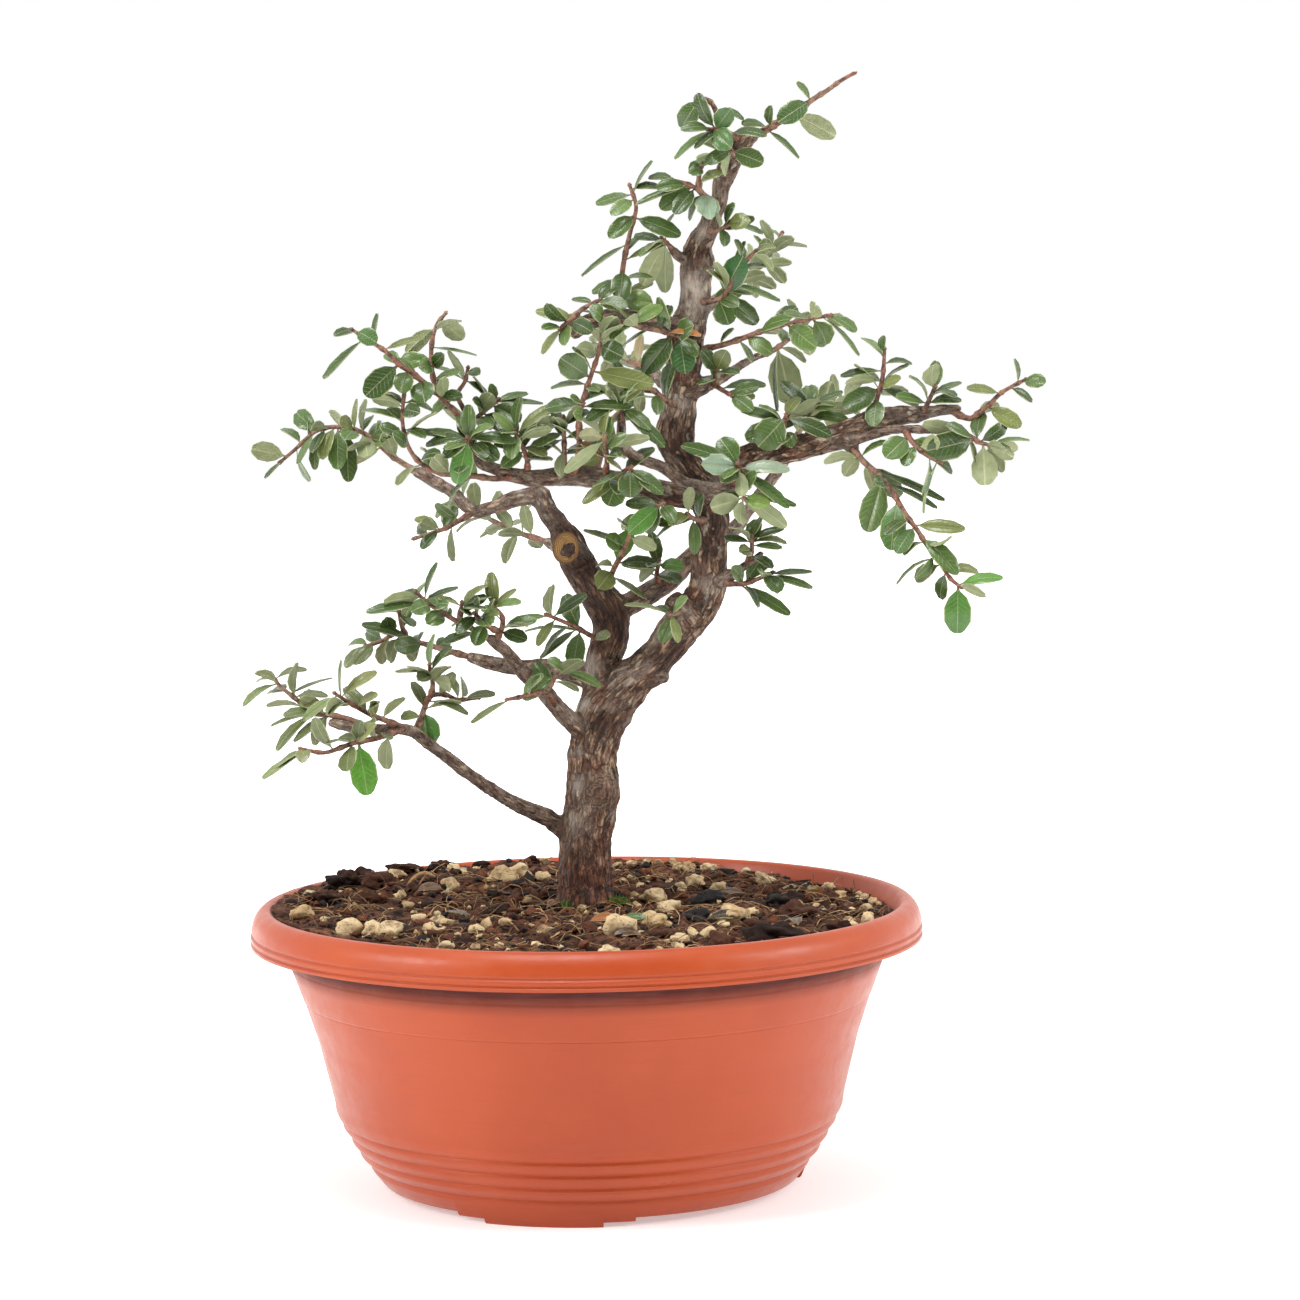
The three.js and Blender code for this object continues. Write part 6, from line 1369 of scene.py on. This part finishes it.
class BONSAI_OT_trunk(bpy.types.Operator):
    """Joins the limbs into one trunk with furrowed bark, and adds its pruning cuts"""
    bl_idname = "bonsai.trunk"
    bl_label = "Trunk and branches"

    def execute(self, context):
        settings = context.scene.bonsai.tree
        lines = limb_lines()
        bm = bmesh.new()
        for line in lines.values():
            tube(bm, line, 20 if line[0][1] > 4.5 else 14)
        bmesh.ops.recalc_face_normals(bm, faces=bm.faces)
        rough = placed(bm, "rough_trunk")
        remesh = rough.modifiers.new("join", "REMESH")
        remesh.mode = "VOXEL"
        remesh.voxel_size = settings.voxel / MM
        bm = taken_back(rough)
        for _ in range(3):
            bmesh.ops.smooth_vert(bm, verts=bm.verts, factor=0.5, use_axis_x=True, use_axis_y=True,
                                  use_axis_z=True)
        bm.normal_update()
        grain, thick = grain_of(np.array([v.co[:] for v in bm.verts]), lines)
        bm.verts.layers.float_vector.new("grain")
        for name in ("thick", "knot", "worn"):
            bm.verts.layers.float.new(name)
        layer = bm.verts.layers.float_vector["grain"]
        width, knotted, worn = (bm.verts.layers.float[name] for name in ("thick", "knot", "worn"))
        moves = []
        for vert, across, radius in zip(bm.verts, grain, thick):
            vert[layer] = Vector(across) * MM
            vert[width] = radius * MM
            swell, vert[knotted] = knot_relief(vert.co)
            vert[worn] = patch_share(vert.co)
            deep = settings.furrow / MM * (1 - 0.8 * max(0, vert[worn]))
            moves.append(vert.normal * (deep * bark_relief(across, vert.co, radius) + swell))
        for vert, move in zip(bm.verts, moves):
            vert.co += move
        piece(bm, "trunk_with_branches", [old_bark(settings)], ["trunk_and_branches"], 180)
        for name, wide, high, heart, turned in (
                ("left_limb_cut", 5.6, 6.6, settings.wood, Vector((0.1, -0.9, -0.1))),
                ("hollow_cut", 4.2, 4.6, linear("#4A392E"), Vector())):
            (before, _), (end, radius) = limb_points(WOOD[name])[-2:]
            facing = ((end - before).normalized() + turned).normalized()
            bm = bmesh.new()
            uv = bm.loops.layers.uv.new("cut")
            cut_face(bm, end + facing * radius * 0.45, facing, wide, high, uv)
            piece(bm, "pruned_" + name, [cut_wood(heart), old_bark(settings)], (), 50)
        return {"FINISHED"}


# The leafy shoots

# A blade's rows from stalk to tip: part of its length, and its half width as a share of the widest
BLADE_ROWS = [(0, 0.07), (0.1, 0.12), (0.25, 0.66), (0.46, 0.97), (0.74, 0.95), (1, 0.5)]
BLADE_TIP = {0: (1, 0), 0.5: (0.985, 0.3), 1: (0.935, 0.53)}  # the same across its round end
BLADE_SAG = {0: 0.0, 0.5: 0.22, 1: 0.1}  # a blade's height across, as a share of its half width
GREENS = ["#3A5023", "#425929", "#49632D", "#536D34", "#607840", "#727B44", "#465C2C", "#4E6532"]
LOW_GREEN, UNDER_GREEN = "#94906C", "#8D9268"  # what dulls the lowest leaves and the turned ones
GOLDEN_TURN = 2.399963  # between one leaf and the next round a stem, radians
RULED_FACING = 45  # how a leaf set by the rule counts, in degrees from facing the eye
IN_BARK = 1.2  # a stem nearer to the wood than this has no leaves, mm
STEM_CUTS = 25  # places along a stem where that is tried


def drawn(shoot, leaf, turn):
    """A number from 0 to 1 that is always the same for that leaf."""
    wave = math.sin(shoot * 12.9898 + leaf * 78.233 + turn * 37.719) * 43758.5453
    return wave - math.floor(wave)


def way_at(line, part):
    """Place and forward direction at a part of the length of a line of places."""
    sizes = [(b - a).length for a, b in zip(line, line[1:])]
    left = part * sum(sizes)
    for k, size in enumerate(sizes):
        if left <= size or k == len(sizes) - 1:
            share = min(1, left / size)
            return line[k].lerp(line[k + 1], share), (line[k + 1] - line[k]).normalized()
        left -= size


def bark_distance(place, limbs):
    """How far a place is outside the bark."""
    least = 1e9
    for line in limbs:
        for (a, ra), (b, rb) in zip(line, line[1:]):
            span = b - a
            share = min(1, max(0, (place - a).dot(span) / span.length_squared))
            least = min(least, (place - a.lerp(b, share)).length - (ra + (rb - ra) * share))
    return least


def first_outside(line, limbs):
    """The first part of a stem's length that is clear of the bark."""
    for k in range(STEM_CUTS):
        if bark_distance(way_at(line, k / STEM_CUTS)[0], limbs) > IN_BARK:
            return k / STEM_CUTS
    return 1


def read_leaf(line, first, leaf):
    """A leaf read from the photograph: base, tip, width, the way its face looks, and its turn."""
    part, x, z, lean, width, facing = leaf
    base, _ = way_at(line, max(part, first))
    tip = seen(x, z, base.y + lean)
    along = (tip - base).normalized()
    to_eye = (EYE - base).normalized()
    across = along.cross(to_eye).normalized()
    front = across.cross(along)
    if across.z < 0:
        across.negate()
    turn = math.radians(facing)
    return base, tip, width, front * math.cos(turn) + across * math.sin(turn), facing


def ruled_leaf(line, first, shoot, leaf, more):
    """A leaf that the photograph doesn't show clearly, set round its stem in the species' way."""
    part = max(first, 0.15)
    part += (1 - part) * (leaf + drawn(shoot, leaf, 1)) / more
    place, forward = way_at(line, part)
    side = Vector((0, 0, 1)).cross(forward).normalized()
    over = forward.cross(side)
    turn = GOLDEN_TURN * leaf + math.tau * drawn(shoot, 0, 2)
    spread = 0.85 + 0.5 * drawn(shoot, leaf, 3)
    out = side * math.cos(turn) + over * math.sin(turn)
    along = forward * math.cos(spread) + out * math.sin(spread)
    along.z += 0.1
    along.normalize()
    size = 11 + 5.5 * drawn(shoot, leaf, 4)
    width = size * (0.42 + 0.12 * drawn(shoot, leaf, 5))
    up = forward * 0.8 + Vector((0, 0, 0.7))
    return place, place + along * size, width, up, RULED_FACING


def leaf_shade(rng, facing, tip_x, tip_z):
    """The green of one leaf: mostly deep, dull on the lowest branches, a few bright or dry, a few
    pale with a painted reflection.
    """
    shade = Vector(linear(rng.choice(GREENS))[:3])
    if tip_x < -50 and tip_z < 215:
        shade = shade.lerp(Vector(linear(LOW_GREEN)[:3]), 0.3)
    # the pale grey-green colours among these are a painted reflection
    for x, z, reach, code in BRIGHT_LEAVES:
        if abs(tip_x - x) < reach and abs(tip_z - z) < reach:
            shade = Vector(linear(code)[:3])
    if facing >= 130:
        shade = shade.lerp(Vector(linear(UNDER_GREEN)[:3]), 0.35)
    return shade * rng.uniform(0.82, 1.12)


def blade(bm, leaf, shade, rng, settings, layers):
    """One leaf: a grid drawn to the blade's outline, arched and folded, with its thickness."""
    base, tip, width, up, _ = leaf
    uv, tint = layers
    along = (tip - base).normalized()
    normal = (up - along * up.dot(along)).normalized()
    side = along.cross(normal)
    size = (tip - base).length
    arch = settings.leaf_arch / MM * rng.uniform(0.4, 2.0)
    fold = rng.uniform(0.6, 1.5)
    twist = rng.uniform(-0.35, 0.35)
    rows = len(BLADE_ROWS) - 1
    made = bmesh.ops.create_grid(bm, x_segments=4, y_segments=rows, size=1)["verts"]
    flat = {}
    for vert in made:
        across = vert.co.x
        nearest = round(abs(across) * 2) / 2
        part, share = BLADE_ROWS[round((vert.co.y + 1) / 2 * rows)]
        ahead = (across + 1) / 2
        if part == 1:
            part, share = BLADE_TIP[nearest]
            share /= max(abs(across), 0.5)
            ahead = (across * share + 1) / 2
        flat[vert] = ahead, part
        half = width / 2 * share
        rise = BLADE_SAG[nearest] * half * fold + math.sin(part * math.pi) * arch
        rise += twist * across * half * part
        vert.co = base + along * (0.35 + (size - 0.35) * part)  # a short stalk first
        vert.co += side * (across * half) + normal * rise
        vert[tint] = (*shade, 1)
    faces = list(dict.fromkeys(face for vert in made for face in vert.link_faces))
    for face in faces:
        face.normal_update()
        for loop in face.loops:
            loop[uv].uv = flat[loop.vert]
    for vert in made:
        vert.normal_update()
    result = bmesh.ops.solidify(bm, geom=faces, thickness=settings.leaf_thickness / MM)["geom"]
    backs = [part for part in result if isinstance(part, bmesh.types.BMFace)]
    edges = [face for vert in made for face in vert.link_faces]
    shell = list(dict.fromkeys([*faces, *backs, *edges]))
    bmesh.ops.recalc_face_normals(bm, faces=shell)
    for face in shell:
        face.normal_update()
        face.material_index = 1 if face.normal.dot(normal) > 0.2 else 2


def stem(bm, line, thick):
    """A stem that thins to its tip, with a swelling at each leaf's place and a bud at its end."""
    end = line[-1] + (line[-1] - line[-2]).normalized() * 1.2
    places = [*line[:-1], end]
    radii = [thick + (0.7 - thick) * k / (len(places) - 1) for k in range(len(places))]
    fine = finer(list(zip(places, radii)), 4)
    knobs = [(place, radius * (1.35 if k % 5 == 2 else 1))
             for k, (place, radius) in enumerate(fine)]
    tube(bm, knobs, 7, 1.0)
    ahead = (end - places[-2]).normalized()
    bud = [(end + ahead * far, radius) for far, radius in ((-0.3, 0.6), (0.6, 1.0), (1.2, 0.5))]
    tube(bm, bud, 6, 0.8)


def with_blades():
    """A bmesh for leaves, and its layers: the place on the blade, and the leaf's green."""
    bm = bmesh.new()
    uv = bm.loops.layers.uv.new("blade")
    return bm, (uv, bm.verts.layers.float_color.new("leaf_colour"))


class BONSAI_OT_shoots(bpy.types.Operator):
    """Builds every leafy shoot, its stems, buds and leaves, and the fallen leaves on the soil"""
    bl_idname = "bonsai.shoots"
    bl_label = "Leafy shoots"

    def execute(self, context):
        settings = context.scene.bonsai.tree
        materials = [young_bark(settings), leaf_upper(), leaf_under()]
        limbs = [limb_points(points) for points in WOOD.values()]
        rng = random.Random(5)
        for index, (key, (more, stems)) in enumerate(SHOOTS.items()):
            bm, layers = with_blades()
            lines = [[seen(*point) for point in path] for path, _ in stems]
            firsts = [first_outside(line, limbs) for line in lines]
            for line in lines:
                stem(bm, line, THICK_SHOOTS.get(key, 1.3))
            for line, first, (_, leaves) in zip(lines, firsts, stems):
                for read in leaves:
                    shade = leaf_shade(rng, read[5], read[1], read[2])
                    blade(bm, read_leaf(line, first, read), shade, rng, settings, layers)
            for k in range(more):
                at = k % len(lines)
                leaf = ruled_leaf(lines[at], firsts[at], index, k, more)
                shade = leaf_shade(rng, leaf[4], leaf[1].x, leaf[1].z)
                blade(bm, leaf, shade, rng, settings, layers)
            low, high = (Vector(corner) / MM for corner in CAD_BOX)
            for vert in bm.verts:  # kept 0.02 mm inside the solids' box
                vert.co = [min(b - 0.02, max(a + 0.02, c)) for a, c, b in zip(low, vert.co, high)]
            piece(bm, "leafy_" + key, materials, ["shoot_" + key], 55)

        bm, layers = with_blades()
        for x, y, size, degrees, code in FALLEN_LEAVES:
            base = on_ground(x, y, 2.4, context.scene.bonsai.soil)
            turn = math.radians(degrees)
            tip = base + Vector((math.cos(turn), math.sin(turn), 0.08)) * size
            leaf = base, tip, size * 0.42, Vector((0.2, -0.35, 1)), RULED_FACING
            blade(bm, leaf, Vector(linear(code)[:3]), rng, settings, layers)
        piece(bm, "fallen_leaves", materials, (), 55)
        return {"FINISHED"}


# The stage

class BONSAI_OT_stage(bpy.types.Operator):
    """Sets the paper floor, the soft lights and the camera of the photograph"""
    bl_idname = "bonsai.stage"
    bl_label = "Stage"

    def execute(self, context):
        settings = context.scene.bonsai.stage
        scene = context.scene
        bm = bmesh.new()
        bmesh.ops.create_grid(bm, x_segments=8, y_segments=8, size=6)
        placed(bm, "paper_floor", [studio_paper(settings)])

        world = bpy.data.worlds.new("pale_room")
        world.use_nodes = True
        tree = world.node_tree
        back = tree.nodes["Background"]
        back.inputs["Color"].default_value = settings.background
        # The paper behind the tree glows, and the room in front of it is dim; the camera sees
        # it white all over
        toward = add(tree, "SeparateXYZ", {0: add(tree, "TexCoord")["Generated"]})
        depth = add(tree, "Math", {0: toward["Z"], 1: 0.8, 2: toward["Y"]},
                    operation="MULTIPLY_ADD")[0]
        glow = add(tree, "MapRange", {0: depth, 1: -0.6, 2: 0.5, 3: settings.room, 4: 1.0})[0]
        plain = add(tree, "LightPath")["Is Camera Ray"]
        strength = add(tree, "Math", {0: glow, 1: plain}, operation="MAXIMUM")[0]
        tree.links.new(strength, back.inputs["Strength"])
        scene.world = world
        for name, place, power in (("window_left", (-1.7, -0.8, 1.1), 23),
                                   ("window_right", (1.7, -0.5, 1.0), 18),
                                   ("ceiling", (-0.2, -0.5, 1.9), 19)):
            light = bpy.data.lights.new(name, "AREA")
            light.size = 0.8
            light.energy = power
            lamp = bpy.data.objects.new(name, light)
            lamp.location = place
            aim = Vector((0, 0, 0.2)) - Vector(place)
            lamp.rotation_euler = aim.to_track_quat("-Z", "Y").to_euler()
            scene.collection.objects.link(lamp)

        lens = bpy.data.cameras.new("photograph")
        lens.sensor_width = 36
        lens.lens = settings.lens
        lens.clip_end = 50
        camera = bpy.data.objects.new("photograph", lens)
        turn = Matrix.Rotation(math.pi / 2 - EYE_PITCH, 4, "X") @ Matrix.Rotation(EYE_ROLL, 4, "Z")
        camera.matrix_world = Matrix.Translation(EYE * MM) @ turn
        scene.collection.objects.link(camera)
        scene.camera = camera
        scene.view_settings.view_transform = "Standard"
        return {"FINISHED"}


class BONSAI_PT_sidebar(bpy.types.Panel):
    """Lists the settings and the steps in their order"""
    bl_idname = "BONSAI_PT_sidebar"
    bl_label = "Cotoneaster bonsai"
    bl_space_type = "VIEW_3D"
    bl_region_type = "UI"
    bl_category = "Bonsai"

    def draw(self, context):
        for group in ("bowl", "soil", "tree", "stage"):
            box = self.layout.box()
            box.label(text=group.capitalize())
            settings = getattr(context.scene.bonsai, group)
            for name in settings.__annotations__:
                box.prop(settings, name)
        for step in STEPS:
            self.layout.operator(step.bl_idname)


STEPS = (BONSAI_OT_bowl, BONSAI_OT_soil, BONSAI_OT_stones, BONSAI_OT_litter, BONSAI_OT_trunk,
         BONSAI_OT_shoots, BONSAI_OT_stage)
CLASSES = (BowlSettings, SoilSettings, TreeSettings, StageSettings, BonsaiSettings, *STEPS,
           BONSAI_PT_sidebar)


def register():
    for kind in CLASSES:
        bpy.utils.register_class(kind)
    bpy.types.Scene.bonsai = PointerProperty(type=BonsaiSettings)


def unregister():
    del bpy.types.Scene.bonsai
    for kind in reversed(CLASSES):
        bpy.utils.unregister_class(kind)


def main():
    register()
    bpy.ops.bonsai.bowl()
    bpy.ops.bonsai.soil()
    bpy.ops.bonsai.stones()
    bpy.ops.bonsai.litter()
    bpy.ops.bonsai.trunk()
    bpy.ops.bonsai.shoots()
    bpy.ops.bonsai.stage()


if __name__ == "__main__":
    main()
